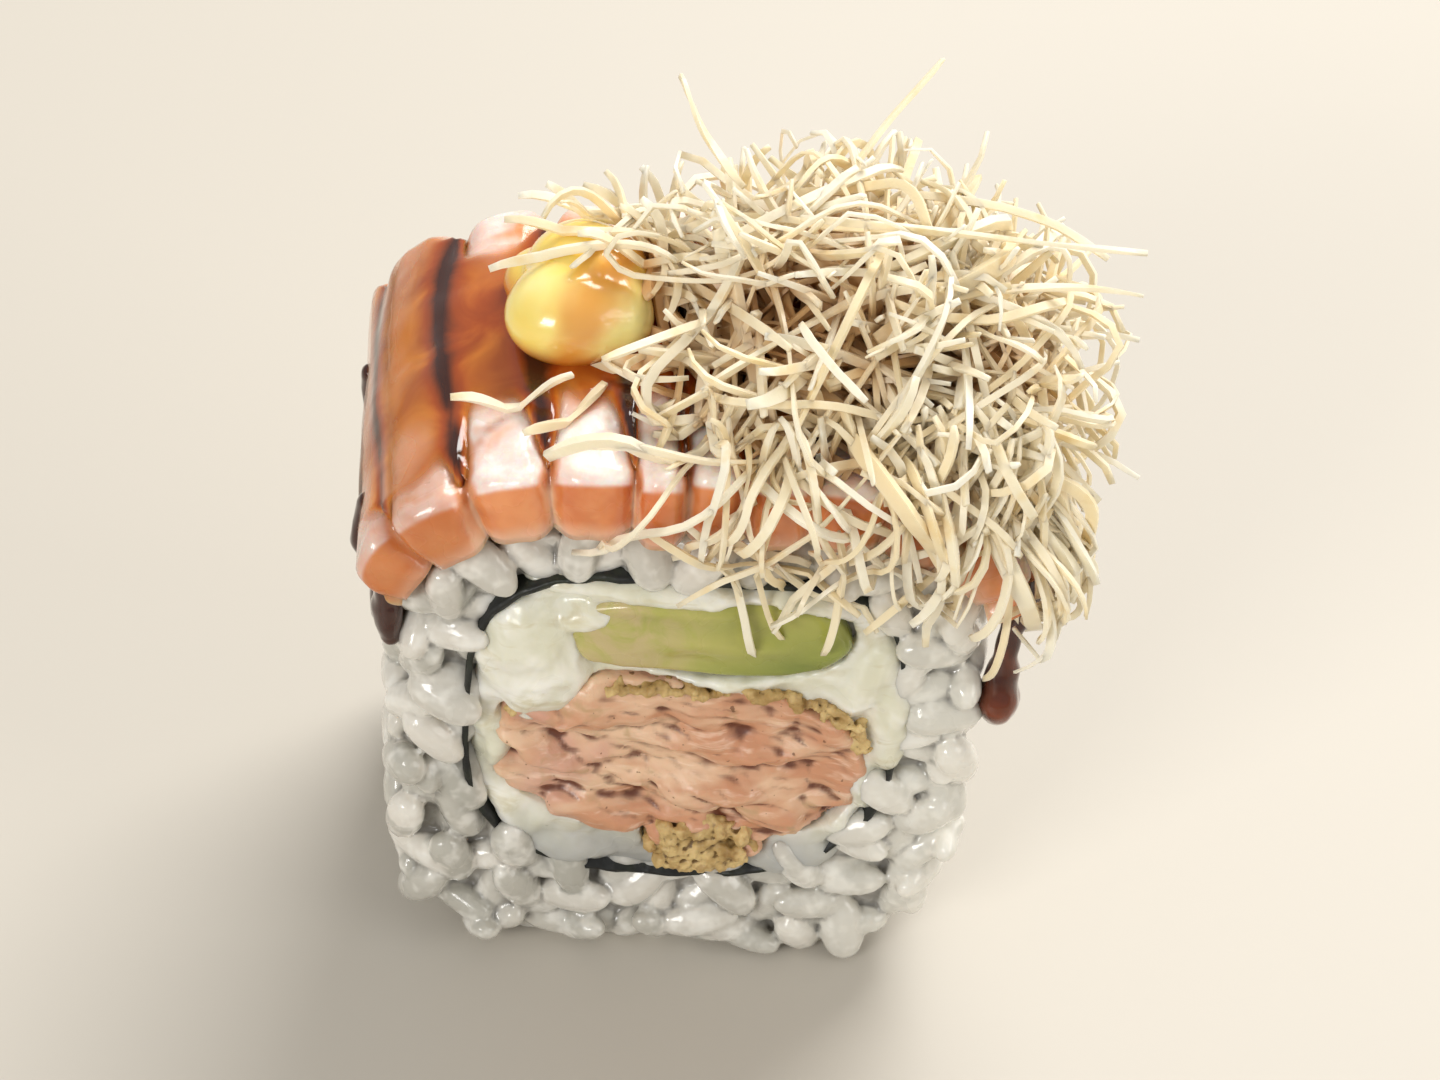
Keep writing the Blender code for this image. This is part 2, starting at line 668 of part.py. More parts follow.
def main():
    start_empty()
    roll, cutters = collection("salmon_uramaki"), collection("cutters")
    cutters.hide_render = True
    finishes = {
        "rice": material("cooked_rice", (0.80, 0.81, 0.79), 0.35),
        "nori": material("nori_sheet", (0.015, 0.018, 0.014), 0.6),
        "cream": material("cream_cheese", (0.86, 0.87, 0.78), 0.4),
        "avocado": material("avocado_flesh", (0.42, 0.45, 0.10), 0.4),
        "fried": material("fried_salmon", (0.80, 0.42, 0.27), 0.55),
        "slice": material("seared_salmon", (0.86, 0.45, 0.30), 0.3),
        "mayonnaise": material("mayonnaise", (0.93, 0.80, 0.40), 0.25),
        "shreds": material("crispy_shreds", (0.80, 0.68, 0.42), 0.6),
    }
    make_rice(roll, cutters, finishes["rice"])
    make_nori(roll, cutters, finishes["nori"])
    make_filling(roll, cutters, finishes)
    make_slice(roll, finishes["slice"])
    make_toppings(roll, cutters, finishes)


main()
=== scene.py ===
"""The looks of one piece of salmon uramaki: single grains and shreds, flaky fillings, glaze and sauce."""

import bisect
import random
from math import atan2, copysign, cos, exp, hypot, pi, radians, sin, sqrt

import bmesh
import bpy
import numpy as np
from bmesh import ops
from mathutils import Matrix, Quaternion, Vector, noise
from mathutils.bvhtree import BVHTree
from mathutils.kdtree import KDTree


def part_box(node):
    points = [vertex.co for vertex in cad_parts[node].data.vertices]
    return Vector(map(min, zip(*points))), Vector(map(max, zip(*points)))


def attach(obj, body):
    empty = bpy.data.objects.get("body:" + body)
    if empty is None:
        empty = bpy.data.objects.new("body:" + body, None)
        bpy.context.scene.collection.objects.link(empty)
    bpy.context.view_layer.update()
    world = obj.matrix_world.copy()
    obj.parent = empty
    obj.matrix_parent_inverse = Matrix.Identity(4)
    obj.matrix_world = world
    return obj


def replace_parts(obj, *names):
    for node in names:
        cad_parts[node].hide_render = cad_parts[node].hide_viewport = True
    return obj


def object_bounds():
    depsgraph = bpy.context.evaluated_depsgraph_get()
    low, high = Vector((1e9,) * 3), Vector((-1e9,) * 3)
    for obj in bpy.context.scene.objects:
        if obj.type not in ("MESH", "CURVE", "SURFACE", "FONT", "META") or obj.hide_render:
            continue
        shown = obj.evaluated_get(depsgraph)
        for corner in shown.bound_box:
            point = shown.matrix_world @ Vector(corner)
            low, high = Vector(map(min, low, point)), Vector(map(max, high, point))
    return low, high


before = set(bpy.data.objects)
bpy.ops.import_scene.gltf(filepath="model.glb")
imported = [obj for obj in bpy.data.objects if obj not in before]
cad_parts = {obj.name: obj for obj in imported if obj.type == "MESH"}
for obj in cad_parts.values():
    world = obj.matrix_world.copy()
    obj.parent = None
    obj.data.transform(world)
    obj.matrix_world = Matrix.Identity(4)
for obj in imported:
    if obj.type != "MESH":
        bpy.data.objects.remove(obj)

cad_low, cad_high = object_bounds()

MM = 0.001

# Driving dimensions, in metres
ROLL_WIDTH = 47.0 * MM
RICE_HEIGHT = 49.2 * MM
ROLL_LENGTH = 30.0 * MM
HALF_LENGTH = ROLL_LENGTH / 2
FIT_GAP = 0.3 * MM
SLICE_THICKNESS = 6.4 * MM
SLICE_OVERHANG = 0.7 * MM
SLICE_ENDS = (radians(38), radians(144))
SLICE_TAPER = 0.45
# Seams between the flakes, in millimetres across the slice from the middle of its top
SEAM_RUNS = (-31, -26.2, -21.6, -17.0, -11.8, -5.6, -1.7, 3.0, 8.2, 13.6, 18.8, 23.8, 29)
SLICE_SEAMS = [run * MM for run in SEAM_RUNS]
GROOVE_DEPTH = 1.5 * MM
GRAIN_LENGTH = 6.9 * MM
GRAIN_WIDTH = 3.5 * MM
GRAIN_THICKNESS = 2.9 * MM
RICE_SINK = 1.7 * MM
SHRED_WIDTH = 0.78 * MM
SHRED_THICKNESS = 0.42 * MM
SHRED_RINGS = 16
SEED = 5

# How the pieces are filled; a layer of grains is its spacing and how far it stands out
GRAIN_TRIES = 9000
GRAIN_LAYERS = ((3.4 * MM, -0.55 * MM), (4.0 * MM, 0.4 * MM))
MOST_RICE_FACES = 190000
MOST_SALMON_FACES = 150000
CREAM_LUMP_DEPTH = 5.0 * MM
FLAKE_DEPTH = 4.6 * MM
FLAKE_SLANT = radians(20)
GLAZE_REACH = 0.93


def display(red, green, blue):
    """A colour as it looks on a screen, as the linear values and full alpha that a shader takes."""
    parts = (red, green, blue)
    return (*(part / 12.92 if part <= 0.04045 else ((part + 0.055) / 1.055) ** 2.4 for part in parts), 1.0)


# Outlines across the roll


class Outline:
    """A rounded outline in the XZ plane: an oval whose power squares its shoulders."""

    def __init__(self, width, height, middle, power, low_power=None):
        self.half = Vector((width / 2, height / 2))
        self.middle = Vector(middle)
        self.powers = (power, low_power or power)

    @classmethod
    def of_node(cls, node, power, low_power=None):
        """The outline that a CAD node has in its box."""
        low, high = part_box(node)
        middle = ((low.x + high.x) / 2, (low.z + high.z) / 2)
        return cls(high.x - low.x, high.z - low.z, middle, power, low_power)

    def reach(self, angle):
        across, up = cos(angle), sin(angle)
        power = self.powers[0] if up > 0 else self.powers[1]
        total = abs(across / self.half.x) ** power + abs(up / self.half.y) ** power
        return total ** (-1 / power)

    def point(self, angle, grow=0.0):
        arm = Vector((cos(angle), sin(angle)))
        return self.middle + arm * (self.reach(angle) + grow)

    def normal(self, angle):
        along = self.point(angle + 0.01) - self.point(angle - 0.01)
        return Vector((along.y, -along.x)).normalized()

    def depth(self, x, z):
        """Roughly how far a point lies outside the outline; inside is negative."""
        arm = Vector((x, z)) - self.middle
        return arm.length - self.reach(atan2(arm.y, arm.x))

    def even_angles(self, start, end, count):
        """Angles whose points lie an even distance apart, the first at start and the last at end."""
        fine = np.linspace(start, end, 1200)
        spots = np.array([self.point(angle) for angle in fine])
        run = np.concatenate([[0.0], np.cumsum(np.linalg.norm(np.diff(spots, axis=0), axis=1))])
        return np.interp(np.linspace(0, run[-1], count), run, fine)


ROLL = Outline(ROLL_WIDTH, RICE_HEIGHT, (0, RICE_HEIGHT / 2), 4.0)
RICE_SKIN = Outline(
    ROLL_WIDTH - 2 * RICE_SINK, RICE_HEIGHT - RICE_SINK, (0, (RICE_HEIGHT - RICE_SINK) / 2), 4.0
)
NORI = Outline.of_node("nori", 4.2, 2.7)
STICK = Outline(29.8 * MM, 17.2 * MM, (-0.4 * MM, 24.3 * MM), 2.7)
CRUST_LUMP = Outline(9.6 * MM, 6.2 * MM, (2.4 * MM, 15.0 * MM), 2.6)


# Making pieces


def smooth_step(value):
    value = max(0.0, min(1.0, value))
    return value * value * (3 - 2 * value)


def raise_faces(shape, faces):
    """Extrudes faces and drops the ones that this leaves inside; gives back the new faces and points."""
    edges = dict.fromkeys(edge for face in faces for edge in face.edges)
    made = ops.extrude_face_region(shape, geom=faces + list(edges))["geom"]
    raised = [item for item in made if isinstance(item, bmesh.types.BMFace)]
    corners = [item for item in made if isinstance(item, bmesh.types.BMVert)]
    return raised, corners


def steady(shape):
    """Puts edges and faces in the same order each run, because extruding leaves them in any."""
    shape.verts.index_update()
    count = len(shape.verts)

    def place(part):
        first = sorted(vert.index for vert in part.verts)[:3]
        return sum(index * count ** (2 - number) for number, index in enumerate(first))

    shape.edges.sort(key=place)
    shape.faces.sort(key=place)


def mesh_of(name, shape):
    """A mesh of the bmesh's form; the bmesh is freed."""
    mesh = bpy.data.meshes.new(name)
    shape.to_mesh(mesh)
    shape.free()
    return mesh


def placed(name, data):
    """A new object in the scene."""
    made = bpy.data.objects.new(name, data)
    bpy.context.scene.collection.objects.link(made)
    return made


def new_piece(name, shape, finish):
    """Turns a bmesh into a piece of the object that rides on its one body."""
    for face in shape.faces:
        face.smooth = True
    piece = placed(name, mesh_of(name, shape))
    piece.data.materials.append(finish)
    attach(piece, "root")
    return piece


def merged_copy(node):
    """A copy of a CAD node's mesh, with its loose triangles joined."""
    shape = bmesh.new()
    shape.from_mesh(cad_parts[node].data)
    ops.remove_doubles(shape, verts=shape.verts, dist=1e-6)
    return shape


def fused(shape, voxel, rounds, most_faces=None):
    """One softened skin round closed shapes that overlap, thinned out to the most faces allowed."""
    helper = placed("fusing", mesh_of("fusing", shape))
    mesh = helper.data
    skin = helper.modifiers.new("Skin", "REMESH")
    skin.mode = "VOXEL"
    skin.voxel_size = voxel
    soften = helper.modifiers.new("Soften", "SMOOTH")
    soften.factor = 0.5
    soften.iterations = rounds
    bpy.context.view_layer.update()
    graph = bpy.context.evaluated_depsgraph_get()
    if most_faces:
        faces = 2 * len(helper.evaluated_get(graph).data.polygons)
        thin = helper.modifiers.new("Thin", "DECIMATE")
        thin.ratio = min(1.0, most_faces / faces)
        bpy.context.view_layer.update()
        graph = bpy.context.evaluated_depsgraph_get()
    result = bpy.data.meshes.new_from_object(helper.evaluated_get(graph))
    bpy.data.objects.remove(helper, do_unlink=True)
    bpy.data.meshes.remove(mesh)
    skin_shape = bmesh.new()
    skin_shape.from_mesh(result)
    bpy.data.meshes.remove(result)
    return skin_shape


def add_blob(shape, middle, size, tilt=0.0, segments=14, rings=9):
    """Adds an oval lump, tilted in the XZ plane."""
    made = ops.create_uvsphere(shape, u_segments=segments, v_segments=rings, radius=0.5)["verts"]
    ops.scale(shape, vec=size, verts=made)
    ops.rotate(shape, cent=(0, 0, 0), matrix=Matrix.Rotation(tilt, 3, "Y"), verts=made)
    ops.translate(shape, vec=middle, verts=made)


def add_crumb(shape, middle, size, draw):
    """Adds a small rough crumb."""
    made = ops.create_icosphere(shape, subdivisions=1, radius=0.5)["verts"]
    for vert in made:
        vert.co *= size * draw.uniform(0.75, 1.2)
    ops.translate(shape, vec=middle, verts=made)


def roughen(shape, scale, depth):
    """Moves each point along its normal by smooth noise."""
    shape.normal_update()
    moves = [vert.normal * noise.noise(vert.co / scale) * depth for vert in shape.verts]
    for vert, move in zip(shape.verts, moves):
        vert.co += move


def mark_hollows(shape, reach):
    """Stores how deep each point lies below its neighbourhood, from 0 on a ridge to 1 in a seam."""
    hollow = shape.verts.layers.float.new("hollow")
    shape.verts.index_update()
    shape.normal_update()
    ends = np.array([[edge.verts[0].index, edge.verts[1].index] for edge in shape.edges])
    places = np.array([vert.co for vert in shape.verts])
    normals = np.array([vert.normal for vert in shape.verts])
    neighbours = np.bincount(ends.ravel(), minlength=len(places))[:, None]
    level = places
    for _ in range(6):
        total = np.zeros_like(level)
        np.add.at(total, ends[:, 0], level[ends[:, 1]])
        np.add.at(total, ends[:, 1], level[ends[:, 0]])
        level = total / neighbours
    sunk = np.einsum("ij,ij->i", level - places, normals)
    for vert, depth in zip(shape.verts, np.clip(0.5 + sunk / reach, 0.0, 1.0)):
        vert[hollow] = depth


# Finishes


def add_node(tree, kind, **values):
    """Adds a shader node and sets its inputs and properties by name."""
    made = tree.nodes.new("ShaderNode" + kind)
    for name, value in values.items():
        title = name.replace("_", " ")
        if title in made.inputs:
            made.inputs[title].default_value = value
        else:
            setattr(made, name, value)
    return made


def feed(tree, socket, value):
    """Links another node's socket to this one, or sets a plain value on it."""
    if isinstance(value, bpy.types.NodeSocket):
        tree.links.new(value, socket)
    else:
        socket.default_value = value


def calculate(tree, operation, *values):
    """A Math node on sockets or numbers."""
    made = add_node(tree, "Math", operation=operation)
    for socket, value in zip(made.inputs, values):
        feed(tree, socket, value)
    return made.outputs[0]


def smooth_range(tree, value, *limits):
    """Maps a value from one range to another, smoothly and clamped."""
    made = add_node(tree, "MapRange", interpolation_type="SMOOTHSTEP")
    for socket, amount in zip(made.inputs, (value, *limits)):
        feed(tree, socket, amount)
    return made.outputs[0]


def moist_skin_group():
    """Soft dents and a fine grain on wet food, as a normal, with the wetness that goes with them."""
    group = bpy.data.node_groups.new("Moist Skin", "ShaderNodeTree")
    names = ("Dent Scale", "Dent Depth", "Grain Scale", "Grain Depth", "Dry Roughness", "Wet Roughness")
    for title in names:
        group.interface.new_socket(title, in_out="INPUT", socket_type="NodeSocketFloat")
    group.interface.new_socket("Normal", in_out="OUTPUT", socket_type="NodeSocketVector")
    group.interface.new_socket("Roughness", in_out="OUTPUT", socket_type="NodeSocketFloat")
    given = group.nodes.new("NodeGroupInput").outputs
    end = group.nodes.new("NodeGroupOutput")
    place = add_node(group, "TexCoord").outputs["Object"]
    dents = add_node(group, "TexNoise", Detail=2.0)
    grain = add_node(group, "TexNoise", Detail=4.0, Roughness=0.65)
    for texture, title in ((dents, "Dent Scale"), (grain, "Grain Scale")):
        feed(group, texture.inputs["Vector"], place)
        feed(group, texture.inputs["Scale"], given[title])
    deep = calculate(group, "MULTIPLY", dents.outputs[0], given["Dent Depth"])
    relief = calculate(group, "MULTIPLY_ADD", grain.outputs[0], given["Grain Depth"], deep)
    bump = add_node(group, "Bump", Strength=1.0, Distance=1.0)
    feed(group, bump.inputs["Height"], relief)
    feed(group, end.inputs["Normal"], bump.outputs["Normal"])
    ends = (given["Dry Roughness"], given["Wet Roughness"])
    feed(group, end.inputs["Roughness"], smooth_range(group, dents.outputs[0], 0.35, 0.65, *ends))
    return group


MOIST_SKIN = moist_skin_group()
EFFECTS = {
    "scatter": ("Subsurface Weight", "Subsurface Radius", "Subsurface Scale"),
    "coat": ("Coat Weight", "Coat Roughness"),
    "refraction": ("IOR",),
}


class Finish:
    """A Principled material with a moist skin, on which colours are laid one over the other."""

    def __init__(self, name, dents, grain, roughness, **effects):
        """Dents and grain are a scale and a depth each; roughness is that of the dry and the wet spots."""
        self.material = bpy.data.materials.new(name)
        self.material.use_nodes = True
        self.tree = self.material.node_tree
        self.shader = self.tree.nodes["Principled BSDF"]
        for effect, values in effects.items():
            for title, value in zip(EFFECTS[effect], values):
                self.shader.inputs[title].default_value = value
        skin = add_node(self.tree, "Group", node_tree=MOIST_SKIN)
        for socket, value in zip(skin.inputs, (*dents, *grain, *roughness)):
            socket.default_value = value
        for title in ("Normal", "Roughness"):
            feed(self.tree, self.shader.inputs[title], skin.outputs[title])

    def place(self):
        return add_node(self.tree, "TexCoord").outputs["Object"]

    def axis(self, number):
        """One coordinate of the surface, in the object's own metres."""
        split = add_node(self.tree, "SeparateXYZ")
        feed(self.tree, split.inputs[0], self.place())
        return split.outputs[number]

    def carried(self, name):
        """A value that the mesh carries on its points."""
        return add_node(self.tree, "Attribute", attribute_name=name).outputs["Fac"]

    def plus(self, first, second):
        return calculate(self.tree, "ADD", first, second)

    def times(self, first, second):
        return calculate(self.tree, "MULTIPLY", first, second)

    def ramp(self, value, low, high, most=1.0, least=0.0):
        """Goes smoothly from the least at low to the most at high."""
        return smooth_range(self.tree, value, low, high, least, most)

    def spots(self, scale, detail=3.0, roughness=0.55, distortion=0.0, stretch=(1, 1, 1), turn=(0, 0, 0)):
        """Noise on the object's own coordinates, as a value from 0 to 1."""
        mapping = add_node(self.tree, "Mapping", Rotation=turn, Scale=stretch)
        values = dict(Scale=scale, Detail=detail, Roughness=roughness, Distortion=distortion)
        texture = add_node(self.tree, "TexNoise", **values)
        feed(self.tree, mapping.inputs["Vector"], self.place())
        feed(self.tree, texture.inputs["Vector"], mapping.outputs["Vector"])
        return texture.outputs[0]

    def patches(self, low, high, most, *pattern, **more):
        """Spots with soft edges: none where the noise is low, and the most where it is high."""
        return self.ramp(self.spots(*pattern, **more), low, high, most)

    def mix(self, share, first, second):
        """Mixes two colours, each a socket or the tone that it has on a screen."""
        mixer = add_node(self.tree, "Mix", data_type="RGBA")
        for number, value in ((0, share), (6, first), (7, second)):
            feed(self.tree, mixer.inputs[number], display(*value) if isinstance(value, tuple) else value)
        return mixer.outputs[2]

    def begin(self, share, first, second):
        """Starts the colour off as a mix of two."""
        self.base = self.mix(share, first, second)

    def lay(self, share, colour):
        """Lays a colour over the ones before it."""
        self.base = self.mix(share, self.base, colour)

    def done(self):
        feed(self.tree, self.shader.inputs["Base Color"], self.base)
        return self.material


def rice_finish():
    """Cooked grains: waxy, a little see-through and cool, each one with its own tone."""
    rice = Finish(
        "cooked_rice_finish", dents=(420, 0.00012), grain=(2600, 0.000012), roughness=(0.34, 0.16),
        scatter=(0.75, (1.0, 0.95, 0.90), 0.0014), coat=(0.7, 0.07), refraction=(1.38,),
    )
    rice.begin(rice.carried("tone"), (0.70, 0.69, 0.65), (0.87, 0.85, 0.81))
    rice.lay(rice.patches(0.44, 0.68, 0.6, 480, 2.0), (0.95, 0.94, 0.91))
    # Painted light: the grains paler towards the right, where the light falls on them.
    rice.lay(rice.ramp(rice.axis(0), 0.004, 0.022, 0.5), (0.92, 0.91, 0.87))
    # Painted shade: dark grey laid deep in the hollows between the grains.
    rice.lay(rice.ramp(rice.carried("hollow"), 0.52, 0.90, 0.85), (0.47, 0.45, 0.42))
    return rice.done()


def nori_finish():
    """Moist pressed seaweed: nearly black, with a green cast and a fine crinkle."""
    nori = Finish("nori_finish", dents=(700, 0.0002), grain=(3000, 0.00004), roughness=(0.6, 0.35))
    nori.begin(nori.patches(0.4, 0.7, 1.0, 500, 4.0), (0.055, 0.065, 0.06), (0.13, 0.15, 0.10))
    return nori.done()


def cream_cheese_finish():
    """Soft cheese: pale and faintly green, with painted shade making it greyer at the bottom."""
    cream = Finish(
        "cream_cheese_finish", dents=(260, 0.0003), grain=(1400, 0.00003), roughness=(0.5, 0.26),
        scatter=(0.5, (1.0, 0.9, 0.7), 0.0016), coat=(0.4, 0.15),
    )
    cloud = cream.patches(0.36, 0.66, 1.0, 170, distortion=0.6)
    cream.begin(cloud, (0.86, 0.85, 0.76), (0.96, 0.95, 0.91))
    streak = cream.patches(0.52, 0.70, 0.6, 330, 4.0, 0.6, 0.8, (0.6, 1, 1.8))
    cream.lay(streak, (0.80, 0.76, 0.62))
    # Painted shade: greyer towards the bottom of the roll.
    cream.lay(cream.ramp(cream.axis(2), 0.019, 0.012), (0.70, 0.70, 0.68))
    return cream.done()


def avocado_finish():
    """Ripe flesh: yellow-green in the middle, dark green at its skin side, smeared at the left."""
    flesh = Finish(
        "avocado_finish", dents=(240, 0.00035), grain=(1500, 0.00003), roughness=(0.42, 0.2),
        scatter=(0.3, (0.8, 1.0, 0.35), 0.0015), coat=(0.3, 0.15),
    )
    toward_skin = flesh.plus(flesh.times(flesh.axis(0), 0.55), flesh.times(flesh.axis(2), -1.0))
    flesh.begin(flesh.ramp(toward_skin, -0.0375, -0.0285), (0.70, 0.69, 0.36), (0.38, 0.46, 0.12))
    cloud = flesh.patches(0.4, 0.7, 0.6, 210, distortion=0.5, stretch=(0.6, 1, 1.4))
    flesh.lay(cloud, (0.60, 0.62, 0.28))
    left = flesh.ramp(flesh.axis(0), 0.0035, -0.0055)
    smear = flesh.times(left, flesh.patches(0.30, 0.56, 1.0, 260, 4.0, 0.6, 1.0))
    flesh.lay(smear, (0.77, 0.70, 0.50))
    return flesh.done()


def fried_salmon_finish():
    """Cooked salmon flakes: pink-orange, pale on their ridges, with painted shade making them browner in
    the seams.
    """
    flakes = Finish(
        "fried_salmon_finish", dents=(480, 0.00022), grain=(2200, 0.00005), roughness=(0.6, 0.30),
        scatter=(0.25, (1.0, 0.45, 0.3), 0.0007), coat=(0.15, 0.25),
    )
    slant = (0, FLAKE_SLANT, 0)
    layers = flakes.patches(0.38, 0.62, 1.0, 170, 3.0, 0.6, 0.5, (0.4, 0.6, 1.4), slant)
    flakes.begin(layers, (0.80, 0.58, 0.44), (0.90, 0.76, 0.63))
    flakes.lay(flakes.patches(0.50, 0.64, 0.7, 110, 2.0, 0.5, 0.6), (0.82, 0.63, 0.55))
    fibres = flakes.patches(0.55, 0.70, 0.45, 900, 3.0, 0.6, 0.3, (0.25, 0.6, 1.4), slant)
    flakes.lay(fibres, (0.98, 0.87, 0.78))
    flakes.lay(flakes.patches(0.58, 0.70, 0.6, 230, 3.0, 0.6, 0.8), (0.72, 0.59, 0.42))
    # Painted shade: brown laid deep in the seams between flakes.
    flakes.lay(flakes.ramp(flakes.carried("hollow"), 0.52, 0.88), (0.42, 0.23, 0.15))
    flakes.lay(flakes.patches(0.70, 0.74, 0.8, 1300, 2.0), (0.45, 0.30, 0.18))
    return flakes.done()


def crumb_finish():
    """Fried crumb, soaked in places: golden tan, with painted shade laying olive-brown in its hollows."""
    crumb = Finish(
        "brown_crumb_finish", dents=(900, 0.00025), grain=(3000, 0.00007), roughness=(0.75, 0.4),
        scatter=(0.15, (1.0, 0.6, 0.3), 0.001),
    )
    crumb.begin(crumb.patches(0.36, 0.66, 1.0, 300, 4.0, 0.65), (0.66, 0.53, 0.31), (0.86, 0.75, 0.52))
    crumb.lay(crumb.patches(0.58, 0.7, 0.6, 700), (0.54, 0.39, 0.19))
    # Painted shade: olive-brown laid deep in the hollows between crumbs.
    crumb.lay(crumb.ramp(crumb.carried("hollow"), 0.55, 0.90), (0.42, 0.31, 0.14))
    return crumb.done()


def seared_salmon_finish():
    """The top slice: orange flesh with pale fat lines, its ridge tops near its long edges painted nearly
    white for the sear and a painted sheen.
    """
    flesh = Finish(
        "seared_salmon_finish", dents=(330, 0.00025), grain=(1700, 0.00003), roughness=(0.34, 0.15),
        scatter=(0.45, (1.0, 0.42, 0.2), 0.0018), coat=(0.5, 0.10),
    )
    level = flesh.carried("level")
    wobble = flesh.times(flesh.plus(flesh.spots(160, 2.0), -0.5), 0.4)
    seam = calculate(flesh.tree, "PINGPONG", flesh.plus(flesh.carried("flake"), wobble), 0.5)
    flesh.begin(flesh.patches(0.35, 0.7, 1.0, 220), (0.83, 0.47, 0.25), (0.91, 0.60, 0.38))
    flesh.lay(flesh.ramp(level, 0.38, 0.02, 0.8), (0.93, 0.76, 0.65))
    flesh.lay(flesh.ramp(seam, 0.12, 0.04, 0.6), (0.97, 0.82, 0.68))
    # Seared flesh with a painted sheen: near-white on the ridge tops close to the cut ends.
    near_edge = flesh.ramp(calculate(flesh.tree, "ABSOLUTE", flesh.axis(1)), 0.0048, 0.0080)
    edge_zone = flesh.times(flesh.patches(0.26, 0.46, 1.0, 130), near_edge)
    on_ridge = flesh.times(flesh.ramp(seam, 0.05, 0.15), flesh.ramp(level, 0.84, 0.97))
    pale = flesh.mix(flesh.patches(0.35, 0.7, 1.0, 420, 4.0), (0.97, 0.86, 0.82), (1.0, 0.97, 0.95))
    flesh.lay(flesh.times(on_ridge, edge_zone), pale)
    groove = flesh.times(flesh.ramp(seam, 0.09, 0.02, 0.8), flesh.ramp(level, 0.70, 0.95))
    flesh.lay(groove, (0.74, 0.38, 0.15))
    wander = flesh.plus(flesh.axis(0), flesh.times(flesh.spots(300), 0.004))
    flesh.lay(flesh.ramp(wander, -0.0140, -0.0175, 0.5), (0.72, 0.42, 0.18))
    return flesh.done()


def sauce_finish():
    """Sweet soy glaze: amber where it is thin, red-brown to nearly black where it pools."""
    sauce = Finish(
        "sweet_sauce_finish", dents=(190, 0.00030), grain=(900, 0.000004), roughness=(0.12, 0.05),
        scatter=(0.18, (1.0, 0.42, 0.12), 0.0009), coat=(0.7, 0.03), refraction=(1.36,),
    )
    depth = sauce.carried("depth")
    swirl = sauce.times(sauce.plus(sauce.spots(190, 3.0, 0.5, 0.8), -0.5), 0.7)
    amount = sauce.plus(depth, swirl)
    sauce.begin(sauce.ramp(amount, 0.10, 0.60), (0.92, 0.57, 0.20), (0.64, 0.28, 0.07))
    sauce.lay(sauce.ramp(amount, 0.48, 1.02), (0.23, 0.085, 0.035))
    feed(sauce.tree, sauce.shader.inputs["Alpha"], sauce.ramp(depth, 0.0, 0.55, 1.0, 0.12))
    return sauce.done()


def mayonnaise_finish():
    """Egg mayonnaise, with sauce run over its shoulder and painted shade in amber towards its foot."""
    dab = Finish(
        "mayonnaise_finish", dents=(170, 0.0003), grain=(1000, 0.000006), roughness=(0.24, 0.10),
        scatter=(0.45, (1.0, 0.75, 0.30), 0.0018), coat=(0.7, 0.06),
    )
    dab.begin(dab.patches(0.35, 0.7, 1.0, 130, 2.0), (0.99, 0.86, 0.42), (1.0, 0.94, 0.64))
    across = dab.plus(dab.axis(0), dab.times(dab.axis(1), -0.45))
    ripple = dab.times(dab.spots(170, 2.0, 0.5, 0.4), 0.006)
    band = calculate(dab.tree, "ABSOLUTE", dab.plus(dab.plus(across, ripple), 0.0052))
    dab.lay(dab.ramp(band, 0.0030, 0.0002, 0.75), (0.87, 0.56, 0.18))
    # Painted shade: deeper amber towards the foot of the dab.
    dab.lay(dab.ramp(dab.axis(2), 0.0585, 0.0562), (0.84, 0.52, 0.16))
    return dab.done()


def shred_finish():
    """Crisp dry shreds: pale straw, toasted in spots, each one with its own tone."""
    straw = Finish(
        "crispy_shred_finish", dents=(900, 0.00006), grain=(3500, 0.00002), roughness=(0.60, 0.36),
        scatter=(0.4, (1.0, 0.93, 0.80), 0.0010),
    )
    straw.begin(straw.carried("tone"), (0.95, 0.87, 0.71), (0.99, 0.96, 0.87))
    straw.lay(straw.patches(0.54, 0.72, 0.6, 240), (0.92, 0.79, 0.56))
    # Painted shade deep in the heap, and sauce stain close to the glaze, laid as one tan-brown.
    straw.lay(straw.ramp(straw.carried("sauce_and_shade"), 0.25, 0.90, 0.85), (0.80, 0.60, 0.36))
    return straw.done()


# The rice


def add_rice_core(shape):
    """A ring of packed rice behind the grains, open for the nori."""
    half = HALF_LENGTH - RICE_SINK
    gap = 0.4 * MM
    rims = ((RICE_SKIN, 0.0, -half), (RICE_SKIN, 0.0, half), (NORI, gap, half), (NORI, gap, -half))
    loops = []
    for outline, grow, y in rims:
        ring = ops.create_circle(shape, segments=96, radius=1.0)["verts"]
        for vert in ring:
            spot = outline.point(atan2(vert.co.y, vert.co.x), grow)
            vert.co = (spot.x, y, spot.y)
        loops.append(list(dict.fromkeys(edge for vert in ring for edge in vert.link_edges)))
    for here, after in zip(loops, loops[1:] + loops[:1]):
        ops.bridge_loops(shape, edges=here + after)
    ops.recalc_face_normals(shape, faces=shape.faces)


def grain_template(bend, taper):
    """One swollen grain along Z: full in the middle, with blunt ends, and a little bent."""
    shape = bmesh.new()
    ops.create_uvsphere(shape, u_segments=10, v_segments=8, radius=1.0)
    for vert in shape.verts:
        height = vert.co.z
        ring = hypot(vert.co.x, vert.co.y)
        full = sqrt(1 - abs(height) ** 2.5) * (1 + taper * height)
        if ring > 1e-6:
            vert.co.x *= full / ring
            vert.co.y *= full / ring
        vert.co.x += bend * (height * height - 0.4)
    return mesh_of("grain", shape)


def under_slice(angle):
    """Whether the slice hides this place on the roll's outline."""
    return SLICE_ENDS[0] + 0.05 < angle % (2 * pi) < SLICE_ENDS[1] - 0.05


